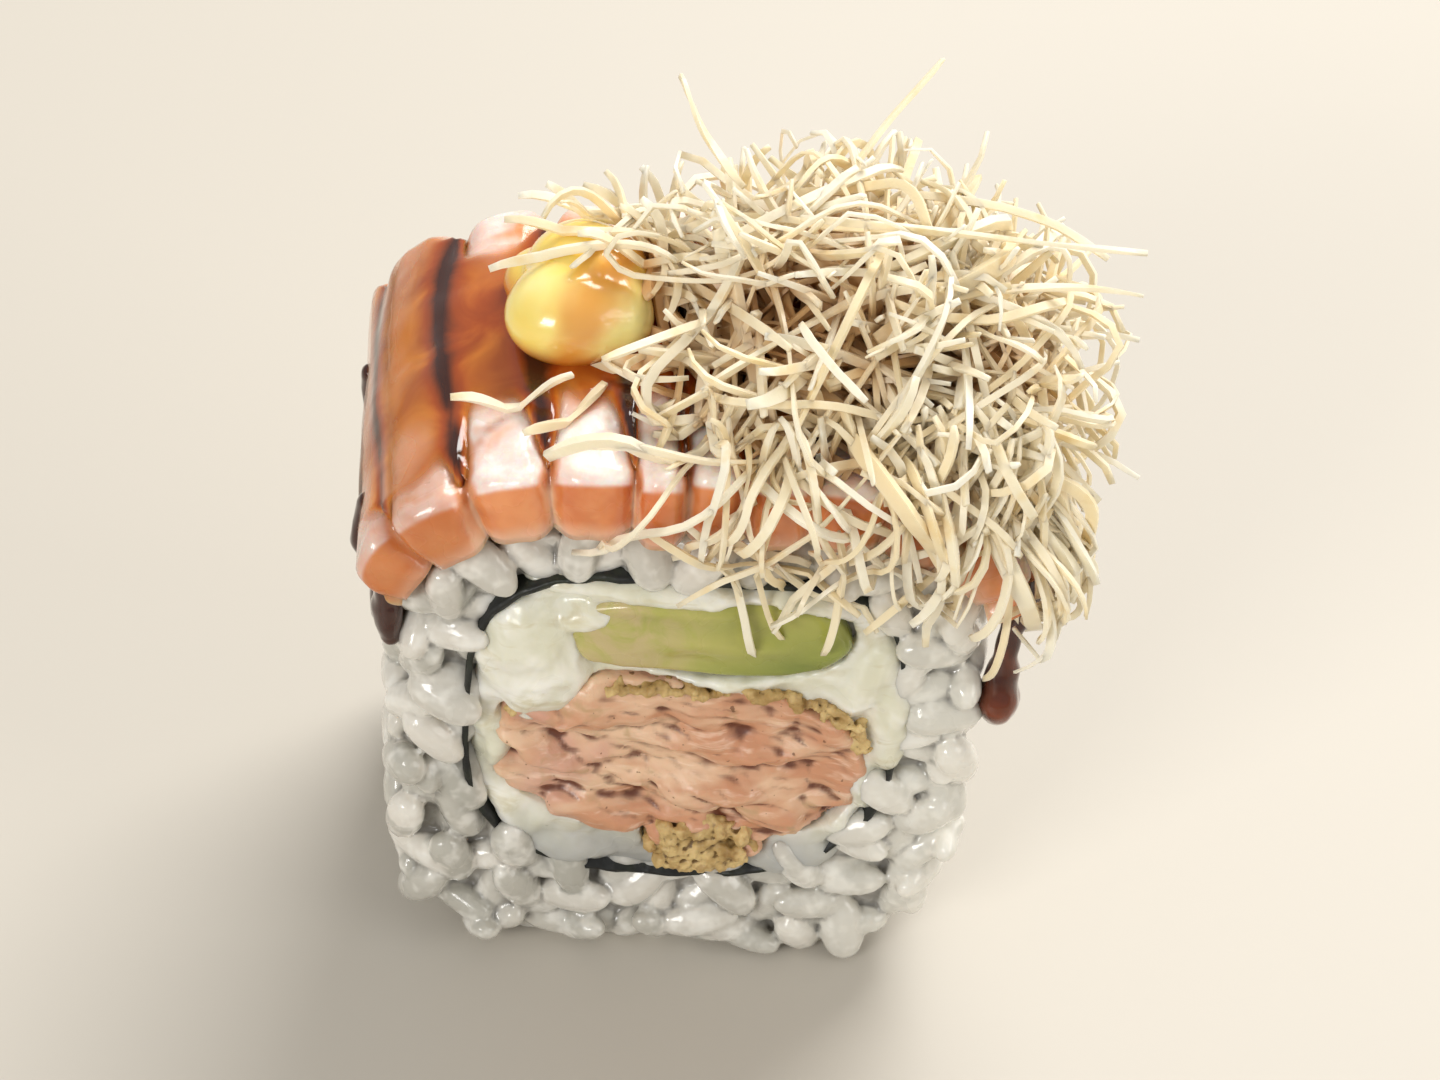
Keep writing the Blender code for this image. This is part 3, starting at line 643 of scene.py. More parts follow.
def rice_spots(draw, spacing):
    """Places for grains on the sides, the cut faces and their rims, none closer than the spacing."""
    ring_angles = ROLL.even_angles(0.0, 2 * pi, 4000)
    taken = np.empty((0, 3))
    found = []
    for _ in range(GRAIN_TRIES):
        kind = draw.random()
        angle = float(ring_angles[draw.randrange(len(ring_angles))])
        spot, side = ROLL.point(angle), ROLL.normal(angle)
        if kind < 0.50:
            if under_slice(angle) or (spot.y < 1 * MM and abs(spot.x) < 12 * MM):
                continue
            place = Vector((spot.x, draw.uniform(-1, 1) * (HALF_LENGTH - 1.6 * MM), spot.y))
            outward = Vector((side.x, 0, side.y))
            place -= outward * 1.5 * MM
        elif kind < 0.64:
            facing = draw.choice((-1, 1))
            lean = 1.1 if not under_slice(angle) else 0.15
            outward = Vector((side.x * lean, facing, side.y * lean)).normalized()
            inset = 1.7 * MM if lean > 1 else 2.6 * MM
            spot = spot - side * inset
            place = Vector((spot.x, facing * (HALF_LENGTH - 1.2 * MM), spot.y))
        else:
            facing = draw.choice((-1, 1))
            x = draw.uniform(-0.5, 0.5) * ROLL_WIDTH
            z = draw.uniform(0, RICE_HEIGHT)
            over_sheet = -0.5 * MM if abs(x) > 11 * MM else 0.7 * MM
            if z < 20 * MM:
                over_sheet = -0.2 * MM
            if ROLL.depth(x, z) > -2.2 * MM or NORI.depth(x, z) < over_sheet:
                continue
            place = Vector((x, facing * (HALF_LENGTH - 1.1 * MM), z))
            outward = Vector((0, facing, 0))
        if len(taken) and np.min(np.linalg.norm(taken - np.array(place), axis=1)) < spacing:
            continue
        taken = np.vstack([taken, np.array(place)])
        found.append((place, outward))
    return found


def make_rice(finish):
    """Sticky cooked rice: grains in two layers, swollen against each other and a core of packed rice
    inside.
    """
    draw = random.Random(SEED)
    templates = [grain_template(draw.uniform(-0.22, 0.22), draw.uniform(-0.16, 0.16)) for _ in range(8)]
    count = len(templates[0].vertices)
    shape = bmesh.new()
    add_rice_core(shape)
    centres = []
    for spacing, lift in GRAIN_LAYERS:
        for place, outward in rice_spots(draw, spacing):
            shape.from_mesh(draw.choice(templates))
            shape.verts.ensure_lookup_table()
            made = shape.verts[-count:]
            turn = outward.to_track_quat("Y", "Z").to_matrix().to_4x4()
            slant = Matrix.Rotation(draw.uniform(0, 2 * pi), 4, "Y")
            tip = Matrix.Rotation(draw.gauss(0, 0.20), 4, "X")
            size = draw.uniform(0.86, 1.08)
            scale = Matrix.Diagonal((
                GRAIN_WIDTH / 2 * draw.uniform(0.88, 1.1),
                GRAIN_THICKNESS / 2 * draw.uniform(0.9, 1.1),
                GRAIN_LENGTH / 2 * size,
                1.0,
            ))
            where = Matrix.Translation(place + outward * (lift + draw.uniform(-0.35, 0.35) * MM))
            whole = where @ turn @ slant @ tip @ scale
            ops.transform(shape, matrix=whole, verts=made)
            rise = max(0.0, -min(vert.co.z for vert in made))
            for vert in made:
                vert.co.z += rise
            shade = draw.random()
            for share in (-0.6, 0.0, 0.6):
                centres.append((whole @ Vector((0, 0, share)) + Vector((0, 0, rise)), shade))
    for template in templates:
        bpy.data.meshes.remove(template)
    shape = fused(shape, 0.26 * MM, 0, MOST_RICE_FACES)
    tones = KDTree(len(centres))
    for number, (centre, _) in enumerate(centres):
        tones.insert(centre, number)
    tones.balance()
    tone = shape.verts.layers.float.new("tone")
    for vert in shape.verts:
        vert.co.z = max(0.0, vert.co.z)
        vert[tone] = centres[tones.find(vert.co)[1]][1]
    mark_hollows(shape, 0.6 * MM)
    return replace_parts(new_piece("rice_grains", shape, finish), "rice")


# The filling


def make_nori(finish):
    """The sheet of nori, crinkled at its cut edges."""
    shape = merged_copy("nori")
    long_edges = [edge for edge in shape.edges if edge.calc_length() > 1.2 * MM]
    ops.subdivide_edges(shape, edges=long_edges, cuts=2)
    ops.triangulate(shape, faces=shape.faces[:])
    for vert in shape.verts:
        wave = noise.noise(Vector((vert.co.x, 0, vert.co.z)) / (3.5 * MM)) * 0.25 * MM
        edge = abs(vert.co.y) / HALF_LENGTH
        vert.co.y *= 1.0 + 0.03 * noise.noise(vert.co / (2.2 * MM)) * edge
        arm = Vector((vert.co.x - NORI.middle.x, 0, vert.co.z - NORI.middle.y)).normalized()
        vert.co += arm * wave * 0.5
    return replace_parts(new_piece("nori_sheet", shape, finish), "nori")


# Lumps at the front and back cuts: X, Z, width, height and how far each stands out, in mm; tilt in degrees
CREAM_LUMPS = {
    -1: (
        (-12.3, 35.0, 8.8, 13.6, -12, 1.9),
        (-3.0, 42.9, 22.0, 2.8, 2, 0.9),
        (-8.6, 40.2, 6.0, 3.0, -14, 1.3),
        (13.6, 33.6, 4.6, 10.0, 18, 1.0),
        (16.0, 29.5, 3.6, 14.0, -3, 1.1),
        (14.2, 22.0, 3.4, 8.0, -14, 0.7),
        (-14.8, 25.0, 2.8, 7.0, 8, 0.7),
        (-8.5, 12.9, 9.6, 4.4, 12, 0.8),
        (9.5, 12.4, 9.8, 4.2, -12, 0.8),
    ),
    1: (
        (11.8, 34.4, 8.2, 11.6, 14, 1.5),
        (2.0, 42.9, 22.0, 2.8, -2, 0.8),
        (-14.0, 33.0, 4.6, 9.0, -16, 0.9),
        (-14.6, 24.5, 3.4, 8.0, 8, 0.6),
        (8.0, 13.3, 9.0, 3.8, -10, 0.7),
        (-8.5, 12.9, 9.0, 3.6, 10, 0.6),
    ),
}


def make_cream_cheese(finish):
    """Soft cheese through the roll, with lumps and smears that swell at both cuts."""
    shape = merged_copy("cream_cheese")
    for facing, lumps in CREAM_LUMPS.items():
        for x, z, width, height, tilt, proud in lumps:
            y = facing * (HALF_LENGTH - CREAM_LUMP_DEPTH / 2 + proud * MM)
            size = (width * MM, CREAM_LUMP_DEPTH, height * MM)
            add_blob(shape, Vector((x * MM, y, z * MM)), size, radians(tilt))
    shape = fused(shape, 0.34 * MM, 2)
    roughen(shape, 2.4 * MM, 0.40 * MM)
    roughen(shape, 0.9 * MM, 0.12 * MM)
    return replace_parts(new_piece("cream_cheese_filling", shape, finish), "cream_cheese")


def make_avocado(finish):
    """The avocado strip, softly dented where the knife dragged over it."""
    shape = fused(merged_copy("avocado"), 0.38 * MM, 4)
    for vert in shape.verts:
        near_cut = smooth_step((abs(vert.co.y) - HALF_LENGTH + 2 * MM) / (2 * MM))
        drag = noise.noise(Vector((vert.co.x / (5 * MM), vert.co.y / (9 * MM), vert.co.z / (1.8 * MM))))
        vert.co.y += copysign(drag * 0.45 * MM + 0.3 * MM, vert.co.y) * near_cut
    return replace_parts(new_piece("avocado_strip", shape, finish), "avocado")


def make_fried_salmon(finish):
    """The stick of fried salmon, whose cut ends are layered flakes that part at their seams."""
    draw = random.Random(SEED + 1)
    shape = merged_copy("fried_salmon")
    for facing in (-1, 1):
        slope = -FLAKE_SLANT * facing
        along = Vector((cos(slope), -sin(slope)))
        across = Vector((sin(slope), cos(slope)))
        for row in range(-4, 5):
            for column in range(-3, 4):
                spot = STICK.middle + across * (row * 2.9 + draw.uniform(-0.5, 0.5)) * MM
                spot = spot + along * (column * 6.4 + (row % 2) * 3.2 + draw.uniform(-1.2, 1.2)) * MM
                if STICK.depth(spot.x, spot.y) > -1.5 * MM:
                    continue
                y = facing * (HALF_LENGTH - FLAKE_DEPTH / 2 + draw.uniform(-1.3, 1.9) * MM)
                size = (draw.uniform(6.5, 11.5) * MM, FLAKE_DEPTH, draw.uniform(2.3, 3.5) * MM)
                add_blob(shape, Vector((spot.x, y, spot.y)), size, slope + draw.gauss(0, 0.14))
    shape = fused(shape, 0.27 * MM, 0, MOST_SALMON_FACES)
    roughen(shape, 2.2 * MM, 0.50 * MM)
    slant = Matrix.Rotation(-FLAKE_SLANT, 3, "Y")
    for vert in shape.verts:
        across = slant @ vert.co
        fibre = noise.noise(Vector((across.x / 2.6, across.y / 2.0, across.z / 0.55)) / MM)
        vert.co += vert.normal * fibre * 0.21 * MM
    mark_hollows(shape, 0.40 * MM)
    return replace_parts(new_piece("fried_salmon_stick", shape, finish), "fried_salmon")


def make_crumb(finish):
    """The fried crumb round the stick where the cuts show it, and its thick lump at the bottom."""
    draw = random.Random(SEED + 2)
    shape = bmesh.new()
    for facing in (-1, 1):
        for angle in STICK.even_angles(radians(8), radians(160), 64):
            thick = 0.55 + 0.45 * cos(angle) + 0.35 * noise.noise(Vector((6 * angle, facing, 0)))
            for _ in range(4):
                spot = STICK.point(angle + draw.uniform(-0.05, 0.05), draw.uniform(-1.1, 0.5) * thick * MM)
                y = facing * (HALF_LENGTH + draw.uniform(-0.9, 0.7) * MM)
                size = draw.uniform(0.5, 1.0 + 0.5 * thick) * MM
                add_crumb(shape, Vector((spot.x, y, spot.y)), size, draw)
        for _ in range(260):
            angle, share = draw.uniform(0, 2 * pi), sqrt(draw.random())
            spot = CRUST_LUMP.middle.lerp(CRUST_LUMP.point(angle), share * 0.92)
            y = facing * (HALF_LENGTH + draw.uniform(-0.6, 1.3) * MM)
            add_crumb(shape, Vector((spot.x, y, spot.y)), draw.uniform(0.7, 1.8) * MM, draw)
    shape = fused(shape, 0.20 * MM, 0)
    roughen(shape, 0.45 * MM, 0.24 * MM)
    mark_hollows(shape, 0.35 * MM)
    return new_piece("brown_crumb", shape, finish)


# The salmon slice and its sauce


class SliceForm:
    """The slice bent over the roll: u runs across it, v along the roll and w up through it."""

    def __init__(self):
        angles = [float(angle) for angle in ROLL.even_angles(SLICE_ENDS[1], SLICE_ENDS[0], 1001)]
        self.line = [(ROLL.point(angle), ROLL.normal(angle)) for angle in angles]
        self.step = (self.line[1][0] - self.line[0][0]).length
        self.crown = next(number for number, (spot, _) in enumerate(self.line) if spot.x > 0) / 1000
        draw = random.Random(SEED + 3)
        self.ends = [draw.uniform(-0.55, 0.45) * MM for _ in range(2 * len(SLICE_SEAMS))]

    def base(self, u):
        run = min(max(u, 0.0), 1.0) * 1000
        number = min(int(run), 999)
        (spot, side), (next_spot, next_side) = self.line[number], self.line[number + 1]
        return spot.lerp(next_spot, run - number), side.lerp(next_side, run - number)

    def run(self, u):
        """The distance along the slice from the middle of the roll's top."""
        return (u - self.crown) * 1000 * self.step

    def flake(self, u, v):
        """Which flake a place is on; whole numbers are the seams between flakes."""
        run = self.run(u) + 0.6 * MM * sin(2.4 * v + 5 * u)
        after = bisect.bisect(SLICE_SEAMS, run)
        if after == 0 or after == len(SLICE_SEAMS):
            return float(after)
        start, end = SLICE_SEAMS[after - 1], SLICE_SEAMS[after]
        return after + (run - start) / (end - start)

    def groove(self, u, v):
        """1 in a seam between two flakes and 0 on a flake's back."""
        return (1 - abs(sin(pi * self.flake(u, v)))) ** 2.2

    def thickness(self, u, v):
        """How thick the slice is before its grooves."""
        flat, _ = self.base(u)
        lump = noise.noise(Vector((flat.x, v * HALF_LENGTH, flat.y)) / (6 * MM)) * 0.35 * MM
        return SLICE_THICKNESS * (1 - SLICE_TAPER * abs(2 * u - 1) ** 6) + lump

    def top(self, u, v):
        return self.thickness(u, v) - GROOVE_DEPTH * self.groove(u, v) * (0.55 + 0.45 * abs(v))

    def end(self, u, side):
        """How far a flake reaches past the middle of the roll, at the front or the back."""
        number = int(self.flake(u, side)) + (len(SLICE_SEAMS) if side > 0 else 0)
        round_end = 0.9 * MM * (1 - self.groove(u, side)) - 0.7 * MM * self.groove(u, side)
        return HALF_LENGTH + SLICE_OVERHANG - 0.5 * MM + round_end + self.ends[number % len(self.ends)]

    def place(self, u, v, height):
        flat, normal = self.base(u)
        y = v * self.end(u, copysign(1.0, v)) if v else 0.0
        spot = flat + normal * height
        return Vector((spot.x, y, spot.y))


SLICE = SliceForm()


def rounded(first, second, start_first, start_second):
    """Bends the square corner between two shares into a round one."""
    a = (first - start_first) / (1 - start_first)
    b = (second - start_second) / (1 - start_second)
    if a <= 0 or b <= 0:
        return first, second
    pull = max(a, b) / hypot(a, b)
    return start_first + (1 - start_first) * a * pull, start_second + (1 - start_second) * b * pull


def make_slice(finish):
    """The seared slice: a grid raised in steps, rounded at its rims and grooved between its flakes."""
    levels = 8
    shape = bmesh.new()
    ops.create_grid(shape, x_segments=210, y_segments=60, size=1.0)
    rise = shape.verts.layers.float.new("level")
    flake = shape.verts.layers.float.new("flake")
    faces = shape.faces[:]
    for level in range(1, levels + 1):
        faces, corners = raise_faces(shape, faces)
        for vert in corners:
            vert[rise] = level / levels
    steady(shape)
    for vert in shape.verts:
        a, v, w = vert.co.x, vert.co.y, vert[rise]
        share_v, w_v = rounded(abs(v), w, 0.93, 0.74)
        share_a, w = rounded(abs(a), w_v, 0.95, 0.4)
        u = 0.5 + 0.5 * copysign(share_a, a)
        v = copysign(share_v, v)
        vert[flake] = SLICE.flake(u, v)
        high = FIT_GAP + SLICE.top(u, v) * w
        spot = SLICE.place(u, v, high)
        wall = smooth_step((share_v - 0.93) / 0.07) * sin(pi * min(1.0, w + 0.1))
        spot.y += copysign(0.25 * MM * wall, v)
        vert.co = spot
    ops.recalc_face_normals(shape, faces=shape.faces)
    roughen(shape, 1.6 * MM, 0.16 * MM)
    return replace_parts(new_piece("seared_slice", shape, finish), "salmon_slice")


def sauce_cover(u, v):
    """How well the sauce covers a place on the slice; none where it is below 0."""
    flat, _ = SLICE.base(u)
    wide = noise.noise(Vector((flat.x / (9 * MM), v * 1.7, 3.1)))
    small = noise.noise(Vector((flat.x / (2.6 * MM), v * 3.0, 7.7)))
    run = SLICE.run(u)
    cover = 0.60 - abs(v - 0.06) + 0.24 * wide + 0.16 * small + 0.45 * SLICE.groove(u, v)
    left_drape = smooth_step((-16 * MM - run) / (4 * MM)) * smooth_step((v + 0.95) / 0.2)
    right_run = exp(-(((v + 0.70) / 0.18) ** 2)) * smooth_step((u - 0.80) / 0.12)
    rim = smooth_step((0.05 - min(u, 1 - u)) / 0.05)
    return cover + 0.42 * left_drape + 0.6 * right_run - 0.9 * rim * (1 - max(0.7 * left_drape, right_run))


def sauce_pool(u, v):
    """How thick the sauce stands, from 0 in a bare film to 1 in the pools round the toppings."""
    flat, _ = SLICE.base(u)
    drift = noise.noise(Vector((flat.x / (5 * MM), v * 2.4, 11.0)))
    near_dab = exp(-(((flat.x + 5 * MM) / (9 * MM)) ** 2 + ((v + 0.1) / 0.45) ** 2))
    back_left = exp(-(((flat.x + 17 * MM) / (6 * MM)) ** 2 + ((v - 0.25) / 0.3) ** 2))
    drape = smooth_step((-17 * MM - SLICE.run(u)) / (4 * MM))
    pool = 0.30 + 0.70 * near_dab + 0.3 * back_left + 0.5 * drift
    return max(0.0, min(1.0, pool * (1 - 0.55 * drape)))


def make_glaze(finish):
    """The sauce on the slice: it fills the grooves, pools in the middle and ends in rounded tongues."""
    shape = bmesh.new()
    ops.create_grid(shape, x_segments=230, y_segments=110, size=1.0)
    cover = {vert: sauce_cover(0.5 + 0.5 * vert.co.x, vert.co.y * GLAZE_REACH) for vert in shape.verts}
    bare = [face for face in shape.faces if max(cover[vert] for vert in face.verts) <= 0]
    ops.delete(shape, geom=bare, context="FACES")
    amount = shape.verts.layers.float.new("depth")
    made = ops.extrude_face_region(shape, geom=shape.faces[:])["geom"]
    tops = {item for item in made if isinstance(item, bmesh.types.BMVert)}
    steady(shape)
    for vert in shape.verts:
        u, v = 0.5 + 0.5 * vert.co.x, vert.co.y * GLAZE_REACH
        wet = smooth_step(sauce_cover(u, v) / 0.16)
        slice_top = FIT_GAP + SLICE.top(u, v)
        fill = GROOVE_DEPTH * SLICE.groove(u, v) * 0.7
        film = (0.15 + 0.8 * sauce_pool(u, v)) * MM
        vert[amount] = wet * (fill + film) / (1.4 * MM)
        high = slice_top + wet * (fill + film) if vert in tops else slice_top - 0.5 * MM
        vert.co = SLICE.place(u, v, high - (0.05 * MM if vert in tops else 0.0))
    ops.recalc_face_normals(shape, faces=shape.faces)
    return new_piece("sauce_glaze", shape, finish)


# Runs of sauce as places and radii, in millimetres
SAUCE_RUNS = (
    (
        (-25.6, -9.0, 45.5, 1.0), (-26.0, -9.4, 42.0, 1.2), (-24.2, -9.8, 39.0, 1.3),
        (-23.6, -10.2, 35.5, 1.9),
    ),
    ((-23.9, -12.6, 41.0, 1.3), (-23.7, -12.9, 38.5, 1.7), (-23.4, -13.0, 36.0, 1.3)),
    (
        (26.0, -11.0, 45.5, 0.9), (26.2, -11.4, 41.8, 1.2), (24.8, -12.2, 38.0, 1.2),
        (24.4, -13.2, 31.0, 2.3),
    ),
    ((-26.0, 7.0, 44.0, 1.0), (-25.6, 6.8, 40.5, 1.0), (-24.0, 6.6, 35.0, 0.9), (-24.0, 6.3, 26.0, 1.5)),
    ((25.8, 5.5, 44.5, 0.9), (25.6, 5.6, 40.8, 1.0), (24.2, 5.8, 34.0, 1.4)),
)


def make_runs(finish):
    """Runs of thick sauce down the sides of the rice, each with a bead at its foot."""
    shape = bmesh.new()
    for path in SAUCE_RUNS:
        for (*start, thin), (*end, thick) in zip(path, path[1:]):
            start, end = Vector(start) * MM, Vector(end) * MM
            steps = max(2, round((end - start).length / (0.6 * MM)))
            for i in range(steps + 1):
                share = i / steps
                radius = (thin + (thick - thin) * share ** 2) * MM
                add_blob(shape, start.lerp(end, share), (radius * 1.6, radius * 2, radius * 2), 0.0, 12, 8)
    shape = fused(shape, 0.28 * MM, 3)
    roughen(shape, 2.0 * MM, 0.25 * MM)
    amount = shape.verts.layers.float.new("depth")
    for vert in shape.verts:
        vert[amount] = 0.85 + 0.3 * smooth_step((vert.co.z - 30 * MM) / (12 * MM))
    return new_piece("sauce_runs", shape, finish)


def make_mayonnaise(finish):
    """The dab: one round lobe at the front, and a longer one behind that leans on it."""
    low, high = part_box("mayonnaise")
    middle = (low + high) / 2
    foot = low.z - 1.2 * MM
    shape = bmesh.new()
    lobes = (
        (-0.2, -0.6, 0.4, 10.6, 9.6, 8.4),
        (0.8, 2.8, 1.0, 9.6, 11.0, 8.2),
        (-1.6, 4.9, 0.0, 7.6, 6.4, 5.4),
        (3.0, -0.4, 0.6, 5.8, 7.4, 7.2),
    )
    for x, y, lift, width, length, height in lobes:
        place = Vector((middle.x + x * MM, middle.y + y * MM, foot + (lift + height / 2 - 1.2) * MM))
        add_blob(shape, place, (width * MM, length * MM, height * MM), 0.0, 24, 16)
    shape = fused(shape, 0.32 * MM, 8)
    roughen(shape, 6.0 * MM, 0.5 * MM)
    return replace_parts(new_piece("mayonnaise_dab", shape, finish), "mayonnaise")


# The nest of shreds


class Ground:
    """What the shreds lie on, as one surface that gives the way out of it."""

    def __init__(self, pieces):
        joined = bmesh.new()
        for piece in pieces:
            joined.from_mesh(piece.data)
        self.tree = BVHTree.FromBMesh(joined)
        joined.free()

    def away(self, spot):
        """The way from the surface to a point, and how far it is."""
        place, normal, _, distance = self.tree.find_nearest(spot)
        return (spot - place).normalized() if distance > 0.1 * MM else normal, distance

    def clear(self, spot, gap):
        """The same point, or the nearest one that stands the gap off the surface."""
        place, normal, _, distance = self.tree.find_nearest(spot)
        free = (spot - place).dot(normal) >= gap or distance > 8 * MM
        return spot if free else place + normal * gap


def shred_template():
    """A straight strip of four sides with closed ends, one ring for each whole step along Z."""
    shape = bmesh.new()
    ops.create_circle(shape, segments=4, radius=0.5 * sqrt(2), cap_ends=True)
    ops.rotate(shape, cent=(0, 0, 0), matrix=Matrix.Rotation(pi / 4, 3, "Z"), verts=shape.verts)
    faces = shape.faces[:]
    for _ in range(SHRED_RINGS - 1):
        faces, corners = raise_faces(shape, faces)
        ops.translate(shape, vec=(0, 0, 1), verts=corners)
    steady(shape)
    ops.recalc_face_normals(shape, faces=shape.faces)
    for edge in shape.edges:
        edge.smooth = abs(edge.verts[0].co.z - edge.verts[1].co.z) < 0.5
    return mesh_of("shred", shape)


def add_shred(shape, template, layers, points, sauce_and_shade_levels, size, twist, shade):
    """Bends a strip along its points, with its ends a little thinner."""
    tone, sauce_and_shade = layers
    shape.from_mesh(template)
    shape.verts.ensure_lookup_table()
    made = shape.verts[-4 * SHRED_RINGS:]
    heading = (points[1] - points[0]).normalized()
    side = heading.orthogonal().normalized()
    frames = []
    for i, spot in enumerate(points):
        after = points[min(i + 1, SHRED_RINGS - 1)] - points[max(i - 1, 0)]
        after.normalize()
        side = (side - after * side.dot(after)).normalized()
        turned = Quaternion(after, twist * i / SHRED_RINGS) @ side
        frames.append((spot, turned, after.cross(turned)))
    for vert in made:
        number = round(vert.co.z)
        spot, side_way, up_way = frames[number]
        narrow = 0.72 + 0.28 * min(1.0, min(number, SHRED_RINGS - 1 - number) / 2)
        across = side_way * vert.co.x * SHRED_WIDTH + up_way * vert.co.y * SHRED_THICKNESS
        vert[sauce_and_shade] = sauce_and_shade_levels[number]
        vert[tone] = shade
        vert.co = spot + across * size * narrow


SHRED_COUNTS = {"heap": 400, "front_fringe": 74, "side_fringe": 85, "behind_dab": 26, "corner_clump": 20}
# The two heaps of shreds, each as its middle and its radii
HEAPS = (
    (Vector((9.6, 0.4, 56.5)) * MM, Vector((15.4, 14.6, 11.4)) * MM),
    (Vector((19.2, -1.0, 54.0)) * MM, Vector((10.4, 13.9, 10.6)) * MM),
)


def within(draw, low, high):
    """A place drawn from a box, given in millimetres."""
    return Vector([draw.uniform(least, most) for least, most in zip(low, high)]) * MM


class Nest:
    """Grows shreds in and round the two heaps, which lie where the CAD's own heaps are."""

    def __init__(self, ground):
        self.ground = ground

    def boxed(self, spot):
        """The same point, or the nearest one in the space that the whole CAD roll takes up."""
        edges = zip(cad_low, cad_high, spot)
        return Vector(max(low + 0.4 * MM, min(high - 0.4 * MM, part)) for low, high, part in edges)

    def sauce_and_shade(self, spot):
        """How much painted shade and sauce a point takes: all of it deep in the heap, where it is painted
        shade, and close to the glaze, where sauce has reached it.
        """
        inside = -self.outside(spot)[0]
        low = 1.0 - self.ground.away(spot)[1] / (3.5 * MM) if inside > -1 * MM else 0.0
        return max(0.0, min(1.0, max(inside / (5 * MM), low)))

    def outside(self, spot):
        """How far a point lies outside the heaps, and the way out of the nearest one."""
        found = []
        for middle, radii in HEAPS:
            arm = spot - middle
            scaled = Vector(side / part for side, part in zip(arm, radii))
            found.append(((scaled.length - 1.0) * min(radii), arm.normalized()))
        return min(found, key=lambda pair: pair[0])

    def grow(self, draw, start, heading, length, bend, droop=0.0, layer=0.4 * MM, keep=0.0, cling=0.0):
        """The points of one shred, which bends, sinks, follows the ground and stays near the heap."""
        step = length / (SHRED_RINGS - 1)
        axis = Vector(draw.uniform(-1, 1) for _ in range(3)).normalized()
        spot = self.boxed(self.ground.clear(start, layer))
        points, direction = [spot], heading.normalized()
        for _ in range(1, SHRED_RINGS):
            direction = Matrix.Rotation(bend * step + draw.gauss(0, 0.06), 3, axis) @ direction
            direction.z -= droop * step / MM
            outside, way_out = self.outside(spot)
            if keep and outside > 0.6 * MM:
                direction -= way_out * min(0.9, outside / (3.5 * MM)) * keep
            away, distance = self.ground.away(spot)
            if cling and distance > layer + 1.0 * MM:
                direction -= away * min(0.6, (distance - layer) / (6 * MM)) * cling
            direction.normalize()
            free = self.ground.clear(spot + direction * step, layer)
            if (free - spot).length < step * 0.3:
                free = spot + direction * step * 0.5
            ahead = self.boxed(free)
            direction = free - spot + (ahead - free) * 2.5
            direction.normalize()
            spot = ahead
            points.append(spot)
        return points

    def heap(self, draw):
        around, rise = draw.uniform(0, 2 * pi), draw.uniform(-0.05, 1.0)
        level = sqrt(max(0.0, 1 - rise * rise))
        ray = Vector((cos(around) * level, sin(around) * level, rise))
        share = draw.uniform(0.45, 1.0)
        middle, radii = draw.choices(HEAPS, (0.66, 0.34))[0]
        start = middle + Vector(a * b * share for a, b in zip(ray, radii))
        loose = Vector((draw.gauss(0, 1), draw.gauss(0, 1), draw.gauss(0, 0.45)))
        heading = loose - ray * loose.dot(ray) * 0.85
        length = draw.uniform(14, 34) * MM
        start -= heading.normalized() * length * 0.4
        layer = draw.uniform(0.35, 1.6) * MM
        return self.grow(draw, start, heading, length, draw.uniform(-85, 85), 0.012, layer, keep=1.0)

    def front_fringe(self, draw):
        start = within(draw, (0, -14, 57), (25, -7, 61))
        aim = max(-0.6, draw.gauss(0.2, 0.7))
        heading = Vector((sin(aim), -cos(aim), draw.uniform(-0.2, 0.2)))
        length = draw.uniform(9, 27) * MM
        layer = draw.uniform(0.35, 2.2) * MM
        return self.grow(draw, start, heading, length, draw.uniform(-70, 70), 0.035, layer, cling=1.0)

    def side_fringe(self, draw):
        start = within(draw, (14, -14, 54), (24, 13, 61))
        aim = draw.gauss(0.1, 0.7)
        heading = Vector((cos(aim), -sin(aim), draw.uniform(-0.3, 0.3)))
        length = draw.uniform(10, 24) * MM
        layer = draw.uniform(0.35, 3.4) * MM
        return self.grow(draw, start, heading, length, draw.uniform(-60, 60), 0.05, layer, cling=0.6)

    def behind_dab(self, draw):
        start = within(draw, (-9, 3, 60), (2, 12, 65))
        aim = draw.uniform(0, 2 * pi)
        heading = Vector((cos(aim), sin(aim), draw.uniform(-0.2, 0.2)))
        length = draw.uniform(9, 18) * MM
        start -= heading * length * 0.4
        return self.grow(draw, start, heading, length, draw.uniform(-80, 80), 0.03, 0.5 * MM, cling=0.8)

    def corner_clump(self, draw):
        start = within(draw, (21, -16, 50), (26, -10, 57))
        aim = Vector((draw.uniform(21.5, 25.0), draw.uniform(-16.5, -12.5), 33.0)) * MM
        length = draw.uniform(13, 20) * MM
        layer = draw.uniform(0.35, 1.8) * MM
        return self.grow(draw, start, aim - start, length, draw.uniform(-50, 50), 0.02, layer, cling=0.5)


